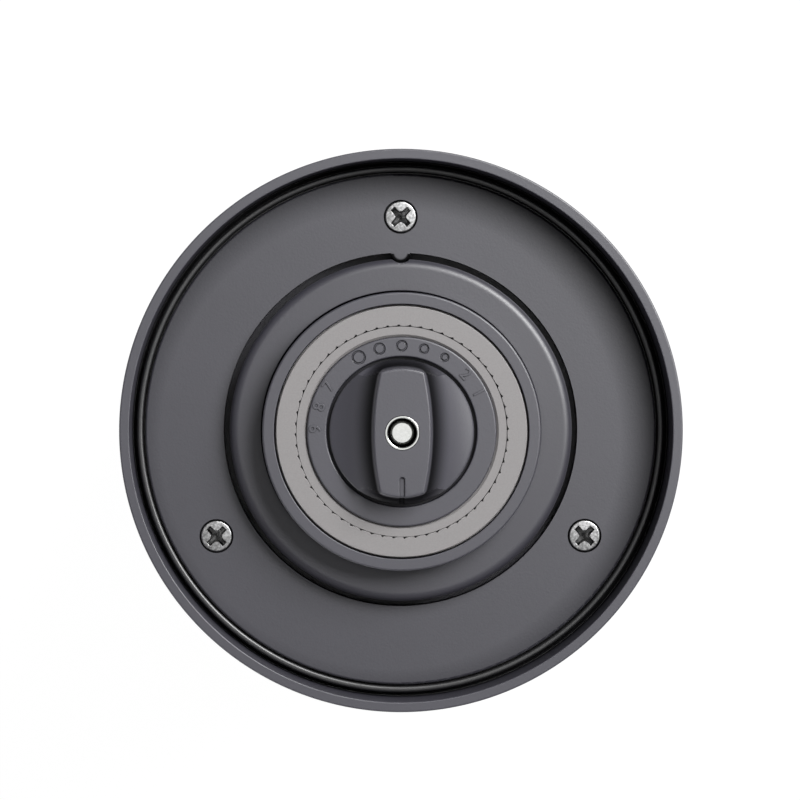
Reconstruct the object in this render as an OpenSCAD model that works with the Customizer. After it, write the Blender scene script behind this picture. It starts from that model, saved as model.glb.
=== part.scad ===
// Cordless burr coffee grinder, standing on the flat end of its head with the grounds outlet up.
// Millimetres. Z = 0 is the head's flat end, +Z leaves the outlet, the button faces -Y.

/* [Body] */
// Outside diameter of the round body
body_d = 90; // [84:1:98]
// Height of the head, from its flat end to the parting line
head_h = 82; // [74:1:96]
// Height of the mill, from the parting line to the rim
mill_h = 68; // [62:1:84]
// Wall of the mill's shell, which shows as the rim
shell_wall = 1.6; // [1.2:0.1:2]
// Wall of the head's shell
head_wall = 2; // [1.6:0.1:2.6]
// Thickness of the head's flat end
head_floor = 2.4; // [1.8:0.1:3.2]
// Fillet round the head's flat end
head_fillet = 4; // [2:0.5:6]
// Depth of the cup recess, from the rim down to the bottom plate
recess_depth = 7; // [5:0.5:9]

/* [Bottom plate] */
// Gap between the plate's hole and the burr housing's dome
dome_gap = 1; // [0.6:0.05:1.4]
// Width of the seal's groove between the plate and the rim
seal_w = 2.05; // [1.8:0.05:3]
// Thickness of the bottom plate
plate_t = 3; // [2.6:0.1:4]
// Head diameter of a plate screw
plate_screw_head = 4.9; // [4:0.1:5.6]
// Thread diameter of a plate screw
plate_screw_d = 2.6; // [2:0.1:3]
// Width of the key tab on the plate
key_w = 3; // [2.4:0.1:4]
// Reach of the key tab past the plate's hole
key_reach = 1.5; // [1.2:0.1:2]
// Diameter of the seal ring's bead
seal_bead = 1.05; // [0.8:0.05:1.2]

/* [Burr housing] */
// Outside diameter of the burr housing's dome
dome_d = 55.2; // [52:0.2:60]
// Fillet round the dome's edge
dome_fillet = 1.5; // [0.6:0.1:1.8]
// Fall of the dome's top toward its edge, in degrees
dome_slope = 5; // [0:0.5:8]
// Height of the dome above the bottom plate
dome_h = 7; // [6:0.1:8]
// Outside diameter of the burr retainer
retainer_d = 44.3; // [41:0.1:48]
// Width of the retainer's face round the outer burr
retainer_w = 1.9; // [1.6:0.05:2.6]
// Width of the groove between the retainer's collar and the dome
collar_groove = 0.45; // [0.3:0.05:0.6]
// Height of the retainer's collar above the dome
retainer_h = 2.7; // [2:0.1:4]

/* [Burrs] */
// Width of the outer burr's face, out from the tips of its teeth
burr_face_w = 3.45; // [2.4:0.05:4.4]
// Depth of the outer burr's teeth
tooth_depth = 0.35; // [0.25:0.05:0.9]
// Number of teeth in the outer burr
tooth_count = 60; // [40:1:72]
// Length of the outer burr
burr_len = 16.7; // [15:0.1:18]
// Radial gap between the two burrs at the outlet
burr_gap = 0.06; // [0.05:0.01:0.3]
// Number of grooves round the inner burr
inner_groove_count = 24; // [12:1:30]
// How far the inner burr's cone draws in to its narrow end
cone_run = 6.35; // [5:0.05:7.5]

/* [Dial and knob] */
// Width of the inner burr's face round the dial
dial_land = 1.6; // [0.8:0.05:1.8]
// Height of the dial plate's face above the burr's outlet face
dial_rise = 1.7; // [1:0.1:2.4]
// Diameter of the knob's disc
knob_d = 22.9; // [21:0.1:24]
// Height of the knob's grip bar above the dial's face
knob_rise = 4.6; // [3.6:0.1:6]
// Distance of the grip bar's ends from the disc's edge
bar_inset = 1.3; // [1.1:0.1:2]
// Width of the grip bar in the middle
bar_w = 9.1; // [8:0.1:10]
// Width of the grip bar at its ends
bar_end_w = 6.6; // [5.6:0.1:7.4]
// Thread diameter of the drive shaft's end
thread_d = 4.5; // [4:0.1:5]

/* [Drive shaft] */
// Width across the flats of the drive shaft
hex_af = 6; // [5.5:0.1:6.4]
// How far the shaft's journal stands over its corners
journal_step = 0.15; // [0.1:0.01:0.4]

/* [Motor and gears] */
// Diameter of the motor
motor_d = 27.7; // [24:0.1:30]
// Height of the motor's end above the head's floor
motor_lift = 9.5; // [7:0.5:14]
// Diameter of the motor's shaft
motor_shaft_d = 2.3; // [2:0.1:2.8]
// Module of the gears
gear_module = 0.5; // [0.45:0.01:0.55]
// Face width of the first planets
stage1_w = 5; // [4:0.1:5.6]
// Face width of the second planets
stage2_w = 6; // [5:0.1:6.6]
// Wall of the gearbox outside the ring's teeth
gearbox_wall = 2.95; // [2.6:0.05:3.4]

/* [Battery] */
// Diameter of a battery cell
cell_d = 18.4; // [17:0.1:20]
// Height of the cells' lower ends above the head's floor
cell_lift = 4; // [3:0.5:8]
// Gap between a cell's cup and the gearbox
cell_gap = 2.05; // [1:0.05:3]

/* [Controls] */
// Diameter of the power button
button_d = 12.4; // [10:0.1:14]
// Travel of the power button
button_travel = 1.2; // [0.8:0.1:1.6]
// Height of the button above the head's flat end
button_z = 41; // [34:1:46]
// Height of the charging socket above the head's flat end
socket_z = 26; // [20:1:32]

/* [Hidden] */
$fn = 96;

// Clearances: a seated pair, a running pair, and two parts that pass each other
seat = 0.05;
run = 0.05;
pass = 0.3;
// Overlap of solids that are joined, and the overshoot of cuts
lap = 0.2;
// Finish colours
grey = "#66656b";
dark = "#2c2c30";
ceramic = "#a3a1a1";
steel = "#c9cacc";
brass = "#c8a552";
white = "#e8e8e4";

body_r = body_d / 2;
shell_in_r = body_r - shell_wall;
head_in_r = body_r - head_wall;

// Levels of the mill, from the rim down
rim_z = head_h + mill_h;
plate_z = rim_z - recess_depth;
plate_z0 = plate_z - plate_t;
plate_r = shell_in_r - seal_w;
ledge_t = 3;
ledge_in_r = plate_r - 2;
dome_r = dome_d / 2;
plate_hole_r = dome_r + dome_gap;
key_y = plate_hole_r - key_reach + key_w / 2;
dome_z = plate_z + dome_h;

// Plate screws stand a little inside the middle of the plate's width
plate_screw_share = 0.455;
plate_screw_r = plate_hole_r + plate_screw_share * (plate_r - plate_hole_r);
plate_screw_angles = [90, 210, 330];
plate_screw_head_h = 1.9;
plate_screw_proud = 0.2;
plate_screw_len = 6.6;
boss_r = plate_screw_d / 2 + 2.6;
collar_z = dome_z + retainer_h;
collar_sink = 1.2;
collar_z0 = dome_z - collar_sink;
burr_z = collar_z;
burr_z0 = burr_z - burr_len;
lip_t = 2;
neck_z = burr_z0 - lip_t;

// Burr seat in the housing
retainer_r = retainer_d / 2;
retainer_in_r = retainer_r - retainer_w;
outer_burr_r = retainer_in_r - seat;
collar_lap = 0.8;
skirt_r = retainer_r - collar_lap;
skirt_len = 6;
housing_bore_r = skirt_r + seat;
collar_seat_r = retainer_r + collar_groove;
dome_turn_r = dome_r - dome_fillet;
dome_brow_r = dome_turn_r + dome_fillet * sin(dome_slope);
dome_brow_z = dome_z - (dome_brow_r - collar_seat_r) * tan(dome_slope);
dome_turn_z = dome_brow_z - dome_fillet * cos(dome_slope);
burr_collar_r = skirt_r - 0.1;
tooth_tip_r = outer_burr_r - burr_face_w;
tooth_root_r = tooth_tip_r + tooth_depth;
inlet_w = 1.4;
burr_inlet_r = tooth_tip_r + inlet_w;
housing_flange_r = plate_screw_r - boss_r - pass;
housing_flange_t = 2.6;

// Hopper liner
liner_r = shell_in_r - seat;
liner_wall = 1.9;
liner_in_r = liner_r - liner_wall;
lip_h = 1.5;
liner_z0 = head_h + lip_h;
shell_lip_r = shell_in_r - 0.8;
spider_ring_r = housing_bore_r + 2.6;
spider_ring_w = 2.2;
spider_h = 6.5;
spider_z = neck_z - spider_h;
neck_in_r = spider_ring_r + seat;
neck_wall = 1.8;
neck_flange_t = 3;
funnel_end_r = neck_in_r - 1.9;
funnel_rise = liner_in_r - funnel_end_r;
funnel_slope = 0.82;
funnel_z = spider_z - funnel_rise * funnel_slope;

// Drive shaft, bush and spring
hex_r = hex_af / 2 / cos(30);
journal_r = hex_r + journal_step;
bush_wall = 1.5;
bush_r = journal_r + run + bush_wall;
hub_r = bush_r + seat + 2.2;
hub_drop = 3.5;
hub_z0 = spider_z - hub_drop;
clip_t = 0.8;
clip_z = hub_z0 - 0.15;
clip_depth = 0.5;
shoulder_t = 1;
shoulder_z = neck_z + 0.1;
shoulder_r = journal_r + 1.9;
thread_r = thread_d / 2;
shaft_tip_r = 1.53;
spring_wire = 0.8;
spring_r = hex_r + run + spring_wire / 2 + 0.5;
spring_pocket_r = spring_r + spring_wire / 2 + 0.5;
spring_z0 = shoulder_z + shoulder_t;
spring_len = 7.6;
spring_z1 = spring_z0 + spring_len;
spring_curls = 4;

// Inner burr, dial and knob
inner_burr_r = tooth_tip_r - burr_gap;
inner_land = 1.6;
inner_burr_z0 = burr_z0 + 1.2;
inner_tip_r = inner_burr_r - cone_run;
inner_groove_w = 1.3;
inner_groove_over = 3;
dial_r = inner_burr_r - dial_land - seat;
dial_z = burr_z + dial_rise;
dial_sink = 3.6;
dial_z0 = burr_z - dial_sink;
knob_r = knob_d / 2;
knob_gap = 0.45;
mark_share = 0.55;
mark_r = knob_r + knob_gap + mark_share * (dial_r - knob_r - knob_gap);
knob_sink = 2.3;
knob_z0 = dial_z - knob_sink;
knob_edge_z = dial_z + 0.2;
knob_z = dial_z + knob_rise;
shaft_top_z = knob_z - 1.5;
bar_len = knob_d - 2 * bar_inset;
bar_sag = (bar_w - bar_end_w) / 2;
bar_side_r = (bar_len * bar_len / 4 + bar_sag * bar_sag) / (2 * bar_sag);
bar_bevel = 0.3;
bar_wall_drop = 0.2;
bar_wall_lean = 35;
bar_wall_run = bar_wall_drop * tan(bar_wall_lean);
ramp_slope = 16;
cove_end = 0.4;
cove_r = (knob_rise - bar_bevel - bar_wall_drop - cove_end) / (cos(ramp_slope) - sin(bar_wall_lean));
cove_steps = 10;
pointer_w = 0.8;
pointer_len = 3.2;
pointer_depth = 0.35;
insert_neck_r = thread_r + run + 0.4;
insert_r = 4.2;
insert_h = 4;

// Levels of the head, from the parting line down
chassis_t = 4;
chassis_drop = 2;
chassis_z = head_h - chassis_drop;
chassis_z0 = chassis_z - chassis_t;
chassis_r = head_in_r - 0.1;
spigot_h = 8;
spigot_wall = 3.6;
spigot_r = liner_in_r - pass;
oring_d = 2.4;
oring_r = liner_in_r - run - oring_d / 2;
oring_z = head_h + 4.5;
cup_wall = 1.2;
cup_h = 10;
cup_roof = 4.6;
cell_r = cell_d / 2;
cell_z = chassis_z0 - cup_roof;
cell_z0 = head_floor + cell_lift;
chassis_boss_r = 3.4;
chassis_boss_at = spigot_r - spigot_wall - chassis_boss_r - 2;
chassis_boss_angles = [45, 135, 225, 315];
chassis_screw_d = 2.5;
chassis_screw_head = 5.4;
chassis_screw_head_h = 1.9;
chassis_screw_len = 8;

// Gear teeth: planets run between the sun and the fixed ring
sun_teeth = 12;
planet_teeth = 18;
ring_teeth = 48;
planet_at = gear_module * (sun_teeth + planet_teeth) / 2;
planet_angles = [0, 120, 240];
addendum = 0.8 * gear_module;
dedendum = 1.1 * gear_module;
pressure = 20;
backlash = 0.03;
pin1_r = 1;
pin2_r = 1.3;
carrier_r = planet_at + pin2_r + 1.6;
gearbox_r = gear_module * ring_teeth / 2 + dedendum + gearbox_wall;
gearbox_screw_angles = [45, 135, 225, 315];
gearbox_screw_at = gearbox_r - 1.4;
gearbox_screw_d = 1.5;
gearbox_screw_head = 2.5;
gearbox_screw_head_h = 1.2;
gearbox_screw_len = 8.5;
cell_offset = gearbox_r + cell_gap + cup_wall + seat + cell_r;

// Gearbox levels, from the cover down
step = 0.3;
cover_t = 5;
cover_z0 = chassis_z0 - cover_t;
bush_flange_t = 0.8;
bush_flange_w = 1.4;
output_r = 3;
output_bush_wall = 1.9;
output_bush_r = output_r + run + output_bush_wall;
output_top_z = head_h - 0.4;
coupling_wall = 2.4;
coupling_r = hex_r + run + coupling_wall;
shaft_seal_w = 2.2;
seal_r = coupling_r + shaft_seal_w;
carrier2_t = 3;
carrier2_z = cover_z0 - bush_flange_t - step;
planet2_z = carrier2_z - carrier2_t - step;
planet2_z0 = planet2_z - stage2_w;
carrier1_t = 2;
carrier1_z = planet2_z0 - step;
planet1_z = carrier1_z - carrier1_t - step;
planet1_z0 = planet1_z - stage1_w;
back_t = 3;
back_z = planet1_z0 - step;
back_z0 = back_z - back_t;
motor_z = back_z0;
motor_z0 = head_floor + motor_lift;
motor_r = motor_d / 2;
motor_shaft_r = motor_shaft_d / 2;
motor_boss_r = 5;
motor_boss_h = 2;
can_wall = 1.2;
cap_t = 3.4;
magnet_t = 2.4;
motor_screw_at = 8.4;
motor_screw_d = 2.3;
motor_screw_head = 4;
motor_screw_head_h = 1.4;
commutator_r = 3.2;
stack_z0 = motor_z0 + cap_t + 8;
stack_z = motor_z - 5;
lug_at = gearbox_r + 3.6;
lug_r = 3.4;
cover_screw_d = 2.5;
cover_screw_head = 5;
cover_screw_head_h = 1.8;

// Controls
button_r = button_d / 2;
button_face = body_r - 0.5;
button_flange_r = button_r + 1.3;
button_flange_t = 1.2;
button_flange_y = sqrt(head_in_r * head_in_r - button_flange_r * button_flange_r) - 0.15;
button_back_y = button_flange_y - button_flange_t;
board_t = 1.6;
board_w = 34;
switch_gap = 0.15;
switch_h = 4.2;
board_y = button_back_y - button_travel - switch_gap - switch_h;
rail_w = 3;
rail_h = 54;
socket_w = 8.9;
socket_t = 3.2;
socket_len = 7.3;
socket_face = body_r - 1.1;
charge_y = socket_face - socket_len;
light_r = 1.5;
light_z = socket_z + 14;

// Half angle of a tooth at radius r, for n teeth made thinner by thin at the pitch circle
function inv(a) = tan(a) * 180 / PI - a;
function tooth_half(n, r, thin) =
    let (pitch = gear_module * n / 2)
    let (base = pitch * cos(pressure))
    90 / n - thin / pitch * 180 / PI + inv(pressure) - inv(acos(min(1, base / r)));
// Outline of a toothed wheel, three points on each flank
function wheel_points(n, out, in, thin) =
    let (pitch = gear_module * n / 2)
    let (radii = [pitch - in, pitch, pitch + out])
    [for (k = [0:n - 1], side = [-1, 1], i = [0:2])
        let (r = radii[side < 0 ? i : 2 - i])
        let (a = 360 * k / n + side * tooth_half(n, r, thin))
        [r * cos(a), r * sin(a)]];

module wheel(n, out, in, thin, z0, z1) {
    translate([0, 0, z0])
        linear_extrude(z1 - z0)
            polygon(wheel_points(n, out, in, thin));
}

// Plain ring or tube between two radii
module ring(r_in, r_out, z0, z1) {
    difference() {
        translate([0, 0, z0])
            cylinder(r = r_out, h = z1 - z0);
        translate([0, 0, z0 - lap])
            cylinder(r = r_in, h = z1 - z0 + 2 * lap);
    }
}

module rod(r, z0, z1) {
    translate([0, 0, z0])
        cylinder(r = r, h = z1 - z0);
}

// Profile rectangle between radii and levels
module slab(r0, r1, z0, z1) {
    translate([r0, z0])
        square([r1 - r0, z1 - z0]);
}

// Puts children at each angle of a list, at radius r
module around(angles, r) {
    for (a = angles)
        rotate(a)
            translate([r, 0, 0])
                children();
}

// One cross-head screw, head up, its shank from z0 and the top of its head at z1
module screw(d, head_d, head_h, z0, z1) {
    difference() {
        union() {
            rod(d / 2, z0, z1 - head_h + lap);
            rod(head_d / 2, z1 - head_h, z1);
        }
        for (a = [0, 90])
            rotate(a)
                translate([-head_d * 0.35, -head_d * 0.08, z1 - head_h * 0.6])
                    cube([head_d * 0.7, head_d * 0.16, head_h]);
    }
}

// Centre of wire ring i of a coil of n rings, and the wire's direction there
function coil_at(r, z0, z1, curls, n, i) =
    [r * cos(360 * curls * i / n), r * sin(360 * curls * i / n), z0 + (z1 - z0) * i / n];
function coil_dir(r, z0, z1, curls, a) =
    let (climb = (z1 - z0) / curls / 2 / PI)
    let (v = [-r * sin(a), r * cos(a), climb])
    v / norm(v);
// Least gap between turns, measured on points half a curl or more apart
function coil_gap(r, wire, z0, z1, curls) =
    let (n = curls * 8)
    let (c = [for (i = [0:n]) coil_at(r, z0, z1, curls, n, i)])
    min([for (i = [0:n], j = [0:n]) if (j >= i + 4) norm(c[i] - c[j])]) - wire;

// A coil spring as one tube of six sides, whose ends run straight for one wire diameter
module coil(r, wire, z_low, z_high, curls) {
    n = curls * 8;
    z0 = z_low + wire / 2 + 0.15;
    z1 = z_high - wire / 2 - 0.15;
    steps = [for (i = [-1:n + 1]) min(n, max(0, i))];
    shift = [for (i = [-1:n + 1]) i < 0 ? -wire : i > n ? wire : 0];
    points = [for (i = [0:n + 2], k = [0:5])
        let (a = 360 * curls * steps[i] / n)
        let (t = coil_dir(r, z0, z1, curls, a))
        let (side = [cos(a), sin(a), 0])
        let (c = coil_at(r, z0, z1, curls, n, steps[i]) + t * shift[i])
        c + wire / 2 * (cos(60 * k) * side + sin(60 * k) * cross(t, side))];
    faces = concat(
        [for (k = [1:4]) [0, k, k + 1]],
        [for (k = [1:4]) [6 * (n + 2), 6 * (n + 2) + k + 1, 6 * (n + 2) + k]],
        [for (i = [0:n + 1], k = [0:5]) [6 * i + k, 6 * i + 6 + k, 6 * i + (k + 1) % 6]],
        [for (i = [0:n + 1], k = [0:5]) [6 * i + (k + 1) % 6, 6 * i + 6 + k, 6 * i + 6 + (k + 1) % 6]]);
    echo(str("coil gap ", coil_gap(r, wire, z0, z1, curls)));
    polyhedron(points, faces);
}

// Mill

// Tube whose rim closes on the cup, with a ledge under the plate and a lip under the liner
module body_shell() {
    edge = 0.5;
    ledge_z0 = plate_z0 - ledge_t;
    color(grey)
        difference() {
            rotate_extrude() {
                slab(shell_in_r, body_r, head_h, rim_z - edge);
                slab(shell_in_r, body_r - edge, head_h, rim_z);
                translate([body_r - edge, rim_z - edge])
                    circle(edge);
                slab(shell_lip_r, shell_in_r + lap, head_h, liner_z0);
                slab(ledge_in_r, shell_in_r + lap, ledge_z0, plate_z0);
            }
            around(plate_screw_angles, plate_screw_r)
                rod(boss_r + pass, ledge_z0 - lap, plate_z0 + lap);
        }
}

// Bean chamber: a straight wall, a funnel and a neck that carries the burrs and the screw bosses
module hopper_liner() {
    funnel_out_z = funnel_z + liner_wall * 0.8;
    neck_r = neck_in_r + neck_wall;
    neck_out_z = spider_z + 1;
    color("#55565c")
        difference() {
            union() {
                rotate_extrude()
                    polygon([
                        [0, liner_z0], [liner_r, liner_z0], [liner_r, funnel_out_z], [neck_r, neck_out_z],
                        [neck_r, neck_z - neck_flange_t], [housing_flange_r, neck_z - neck_flange_t],
                        [housing_flange_r, neck_z], [0, neck_z]
                    ]);
                around(plate_screw_angles, plate_screw_r)
                    rod(boss_r, funnel_z, plate_z0);
            }
            rotate_extrude()
                polygon([
                    [0, liner_z0 - lap], [liner_in_r, liner_z0 - lap], [liner_in_r, funnel_z],
                    [funnel_end_r, spider_z], [neck_in_r, spider_z], [neck_in_r, neck_z + lap], [0, neck_z + lap]
                ]);
            around(plate_screw_angles, plate_screw_r)
                rod(plate_screw_d / 2, plate_z0 - plate_screw_len - 0.4, plate_z0 + lap);
        }
}

module bottom_plate() {
    bore_r = plate_screw_head / 2 + pass;
    key_r = key_w / 2;
    edge = 0.4;
    color(grey)
        difference() {
            union() {
                rotate_extrude() {
                    slab(plate_hole_r, plate_r, plate_z0, plate_z - edge);
                    slab(plate_hole_r, plate_r - edge, plate_z0, plate_z);
                    translate([plate_r - edge, plate_z - edge])
                        circle(edge);
                }
                translate([0, key_y, plate_z0])
                    cylinder(r = key_r, h = plate_t);
                translate([-key_r, key_y, plate_z0])
                    cube([key_w, key_reach, plate_t]);
            }
            around(plate_screw_angles, plate_screw_r) {
                rod(plate_screw_d / 2 + 0.15, plate_z0 - lap, plate_z);
                rod(bore_r, plate_z + plate_screw_proud - plate_screw_head_h, plate_z + lap);
            }
        }
}

module plate_screws() {
    color(steel)
        around(plate_screw_angles, plate_screw_r)
            rotate(45)
                screw(plate_screw_d - 0.1, plate_screw_head, plate_screw_head_h,
                    plate_z0 - plate_screw_len, plate_z + plate_screw_proud);
}

// Rubber ring in the corner between plate and shell, with a bead that the cup's rim presses on
module seal_ring() {
    base_h = 0.9;
    bead_r = seal_bead / 2;
    bead_in_r = plate_r + 0.25;
    color("#151517")
        rotate_extrude() {
            slab(plate_r + seat, shell_in_r - seat, plate_z0, plate_z0 + base_h);
            slab(bead_in_r, bead_in_r + seal_bead, plate_z0, plate_z - bead_r);
            translate([bead_in_r + bead_r, plate_z - bead_r])
                circle(bead_r);
        }
}

// Dome that holds the outer burr, hollow from below, notched for the plate's key tab
module burr_housing() {
    wall = 2;
    notch_r = key_w / 2 + pass;
    color(grey)
        difference() {
            rotate_extrude() {
                difference() {
                    union() {
                        polygon([
                            [housing_bore_r, neck_z], [dome_r, neck_z], [dome_r, dome_turn_z],
                            [dome_turn_r, dome_turn_z], [dome_brow_r, dome_brow_z],
                            [collar_seat_r, dome_z], [housing_bore_r, dome_z]
                        ]);
                        translate([dome_turn_r, dome_turn_z])
                            circle(dome_fillet);
                        slab(dome_r - lap, housing_flange_r, neck_z, neck_z + housing_flange_t);
                        slab(burr_inlet_r, housing_bore_r + lap, neck_z, burr_z0);
                    }
                    slab(housing_bore_r + wall, dome_r - wall, neck_z - lap, dome_z - wall);
                    slab(housing_bore_r - lap, collar_seat_r, collar_z0, dome_z + lap);
                }
            }
            translate([0, key_y, 0])
                rod(notch_r, plate_z0 - 1, dome_z + lap);
        }
}

// Screwed collar whose skirt clamps the outer burr in the housing
module burr_retainer() {
    edge = 0.3;
    color(grey)
        rotate_extrude() {
            slab(retainer_in_r, skirt_r, dome_z - skirt_len, collar_z0 + lap);
            slab(retainer_in_r, retainer_r, collar_z0, collar_z - edge);
            slab(retainer_in_r, retainer_r - edge, collar_z0, collar_z);
            translate([retainer_r - edge, collar_z - edge])
                circle(edge);
        }
}

// Outline of the outer burr's bore: saw teeth with one steep and one leaning flank
function burr_bore_points() =
    [for (k = [0:tooth_count - 1], i = [0:1])
        let (a = 360 / tooth_count * (k + 0.22 * i))
        let (r = i == 0 ? tooth_tip_r : tooth_root_r)
        [r * cos(a), r * sin(a)]];

module outer_burr() {
    flare = 5;
    relief_w = 0.2;
    relief_h = 1.2;
    color(ceramic)
        difference() {
            union() {
                rod(outer_burr_r, burr_z0, burr_z - relief_h);
                rod(outer_burr_r - relief_w, burr_z0, burr_z);
                rod(burr_collar_r, burr_z0, dome_z - skirt_len);
            }
            translate([0, 0, burr_z0 - lap])
                linear_extrude(burr_len + 2 * lap)
                    polygon(burr_bore_points());
            translate([0, 0, burr_z0 - lap])
                cylinder(r1 = burr_inlet_r, r2 = tooth_tip_r - 1, h = flare);
        }
}

// Bridge across the hopper's neck: a ring, three arms and the hub for the shaft's bush
module bearing_spider() {
    arm_w = 4;
    arm_h = 5;
    color(dark)
        difference() {
            union() {
                ring(spider_ring_r - spider_ring_w, spider_ring_r, spider_z, neck_z);
                rod(hub_r, hub_z0, neck_z - 0.6);
                for (a = [30, 150, 270])
                    rotate(a)
                        translate([0, -arm_w / 2, spider_z])
                            cube([spider_ring_r - spider_ring_w / 2, arm_w, arm_h]);
            }
            rod(bush_r + seat, hub_z0 - lap, neck_z + lap);
        }
}

module shaft_bush() {
    color("#9c7a45")
        ring(journal_r + run, bush_r, hub_z0, neck_z);
}

// Rotor

// Six-sided shaft with a journal, a shoulder on the bush and a threaded end for the knob
module drive_shaft() {
    hex_z0 = head_h + 0.5;
    hex_z1 = dial_z0 + 1.4;
    tip_chamfer = thread_r - shaft_tip_r;
    color(steel)
        difference() {
            union() {
                translate([0, 0, hex_z0])
                    cylinder(r = hex_r, h = hex_z1 - hex_z0, $fn = 6);
                rod(journal_r, hub_z0 - 2.4, shoulder_z + lap);
                rod(shoulder_r, shoulder_z, shoulder_z + shoulder_t);
                rod(thread_r, hex_z1 - lap, shaft_top_z - tip_chamfer);
                translate([0, 0, shaft_top_z - tip_chamfer])
                    cylinder(r1 = thread_r, r2 = shaft_tip_r, h = tip_chamfer);
            }
            ring(journal_r - clip_depth, 2 * journal_r, clip_z - clip_t - seat, clip_z + seat);
        }
}

// Spring clip under the bush, open on one side
module shaft_clip() {
    color(steel)
        difference() {
            ring(journal_r - clip_depth + seat, journal_r + 1.6, clip_z - clip_t, clip_z);
            translate([0, -1.6, clip_z - clip_t - lap])
                cube([2 * journal_r + 4, 3.2, clip_t + 2 * lap]);
        }
}

// Burr carriage

// Grooved cone on the shaft's flats, with a recess for the dial and a pocket for the spring
module inner_burr() {
    cone_h = burr_z - inner_land - inner_burr_z0;
    cone_lean = atan(cone_run / cone_h);
    recess_r = dial_r + seat;
    chamfer = 0.35;
    color(ceramic)
        difference() {
            rotate_extrude()
                polygon([
                    [0, inner_burr_z0], [inner_tip_r, inner_burr_z0], [inner_burr_r, burr_z - inner_land],
                    [inner_burr_r, burr_z], [recess_r + chamfer, burr_z], [recess_r, burr_z - chamfer],
                    [recess_r, dial_z0], [0, dial_z0]
                ]);
            for (k = [0:inner_groove_count - 1])
                rotate(360 / inner_groove_count * k)
                    translate([inner_tip_r, 0, inner_burr_z0])
                        rotate([-18, cone_lean, 0])
                            rotate(45)
                                translate([-inner_groove_w / 2, -inner_groove_w / 2, -inner_groove_over])
                                    cube([inner_groove_w, inner_groove_w, cone_h - 1]);
            translate([0, 0, inner_burr_z0 - lap])
                cylinder(r = hex_r + run, h = burr_len, $fn = 6);
            rod(spring_pocket_r, inner_burr_z0 - lap, spring_z1);
        }
}

// Dial with five rings that grow from fine to coarse, and a recess that the knob turns in
module dial_plate() {
    mark_line = 0.28;
    mark_depth = 0.25;
    marks = [[60, 0.7], [75, 0.8], [90, 0.9], [105, 0.95], [120, 1.1]];
    color(grey)
        difference() {
            rod(dial_r, dial_z0, dial_z);
            rod(knob_r + knob_gap, knob_z0 - seat, dial_z + lap);
            rod(hex_r + run, dial_z0 - lap, dial_z);
            for (m = marks)
                rotate(m[0])
                    translate([mark_r, 0, 0])
                        ring(m[1] - mark_line, m[1], dial_z - mark_depth, dial_z + mark_depth);
        }
}

module burr_spring() {
    color(steel)
        coil(spring_r, spring_wire, spring_z0, spring_z1, spring_curls);
}

// Knob

// Side of the grip bar as a profile: bevel, leaning wall, cove and a ramp out to the disc's edge
function bar_side_points() =
    let (foot_z = knob_z - bar_bevel - bar_wall_drop)
    let (cx = bar_side_r + bar_wall_run + cove_r * cos(bar_wall_lean))
    let (cz = foot_z + cove_r * sin(bar_wall_lean))
    let (end = [for (a = [0:cove_steps])
        let (t = 180 + bar_wall_lean + (90 - ramp_slope - bar_wall_lean) * a / cove_steps)
        [cx + cove_r * cos(t), cz + cove_r * sin(t)]])
    let (ramp_run = knob_r - bar_w / 2)
    concat(
        [[0, knob_z], [bar_side_r - bar_bevel, knob_z], [bar_side_r, knob_z - bar_bevel]],
        end,
        [end[cove_steps] + [ramp_run, -ramp_run * tan(ramp_slope)], [bar_side_r + 2 * knob_r, knob_z0],
            [0, knob_z0]]);

// Disc and bar: two coved sides swept round far axes, trimmed by the round end walls
module adjust_knob() {
    bar_r = bar_len / 2;
    shift = bar_side_r - bar_w / 2;
    color(grey)
        difference() {
            intersection() {
                rotate_extrude()
                    polygon([
                        [0, knob_z0], [knob_r, knob_z0], [knob_r, knob_edge_z], [bar_r + 0.8, knob_edge_z + 0.7],
                        [bar_r + 0.3, knob_edge_z + 2], [bar_r, knob_z - bar_bevel], [bar_r - bar_bevel, knob_z],
                        [0, knob_z]
                    ]);
                translate([-shift, 0, 0])
                    rotate_extrude()
                        polygon(bar_side_points());
                translate([shift, 0, 0])
                    rotate_extrude()
                        polygon(bar_side_points());
            }
            rod(insert_neck_r + seat, knob_z0 - lap, knob_z + lap);
            rod(insert_r + seat, knob_z0 - lap, knob_z0 + insert_h);
            translate([0, -bar_r + pointer_len - pointer_w / 2, knob_z - pointer_depth])
                cylinder(r = pointer_w / 2, h = 1);
            translate([-pointer_w / 2, -knob_r, knob_z - pointer_depth])
                cube([pointer_w, knob_r - bar_r + pointer_len - pointer_w / 2, 1]);
            translate([-pointer_w / 2, -knob_r - lap, knob_edge_z - 0.1])
                cube([pointer_w, knob_r - bar_r + pointer_depth + lap, knob_z]);
        }
}

module knob_insert() {
    color(steel)
        difference() {
            union() {
                rod(insert_r, knob_z0, knob_z0 + insert_h - seat);
                rod(insert_neck_r, knob_z0, knob_z + 0.05);
            }
            rod(thread_r + run, knob_z0 - lap, knob_z + lap);
        }
}

// Head

// Turns a piece drawn along +Z to point out of the front or the back, at height h
module out_front(h) {
    translate([0, 0, h])
        rotate([90, 0, 0])
            children();
}
module out_back(h) {
    translate([0, 0, h])
        rotate([90, 0, 180])
            children();
}

// Outline with round ends, as wide as w and as tall as t
module stadium(w, t) {
    square([w - t, t], center = true);
    for (x = [-1, 1])
        translate([x * (w - t) / 2, 0])
            circle(t / 2);
}

// Pair of grooved posts that a board of width w slides into, its outer face at distance y
module board_rails(w, y) {
    groove = 1.2;
    for (side = [-1, 1])
        difference() {
            translate([side * (w / 2 - groove + rail_w / 2) - rail_w / 2, y - board_t - groove, head_floor - lap])
                cube([rail_w, board_t + 2 * groove, rail_h + lap]);
            translate([-w / 2 - seat, y - board_t - seat, head_floor])
                cube([w + 2 * seat, board_t + 2 * seat, rail_h + lap]);
        }
}

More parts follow.
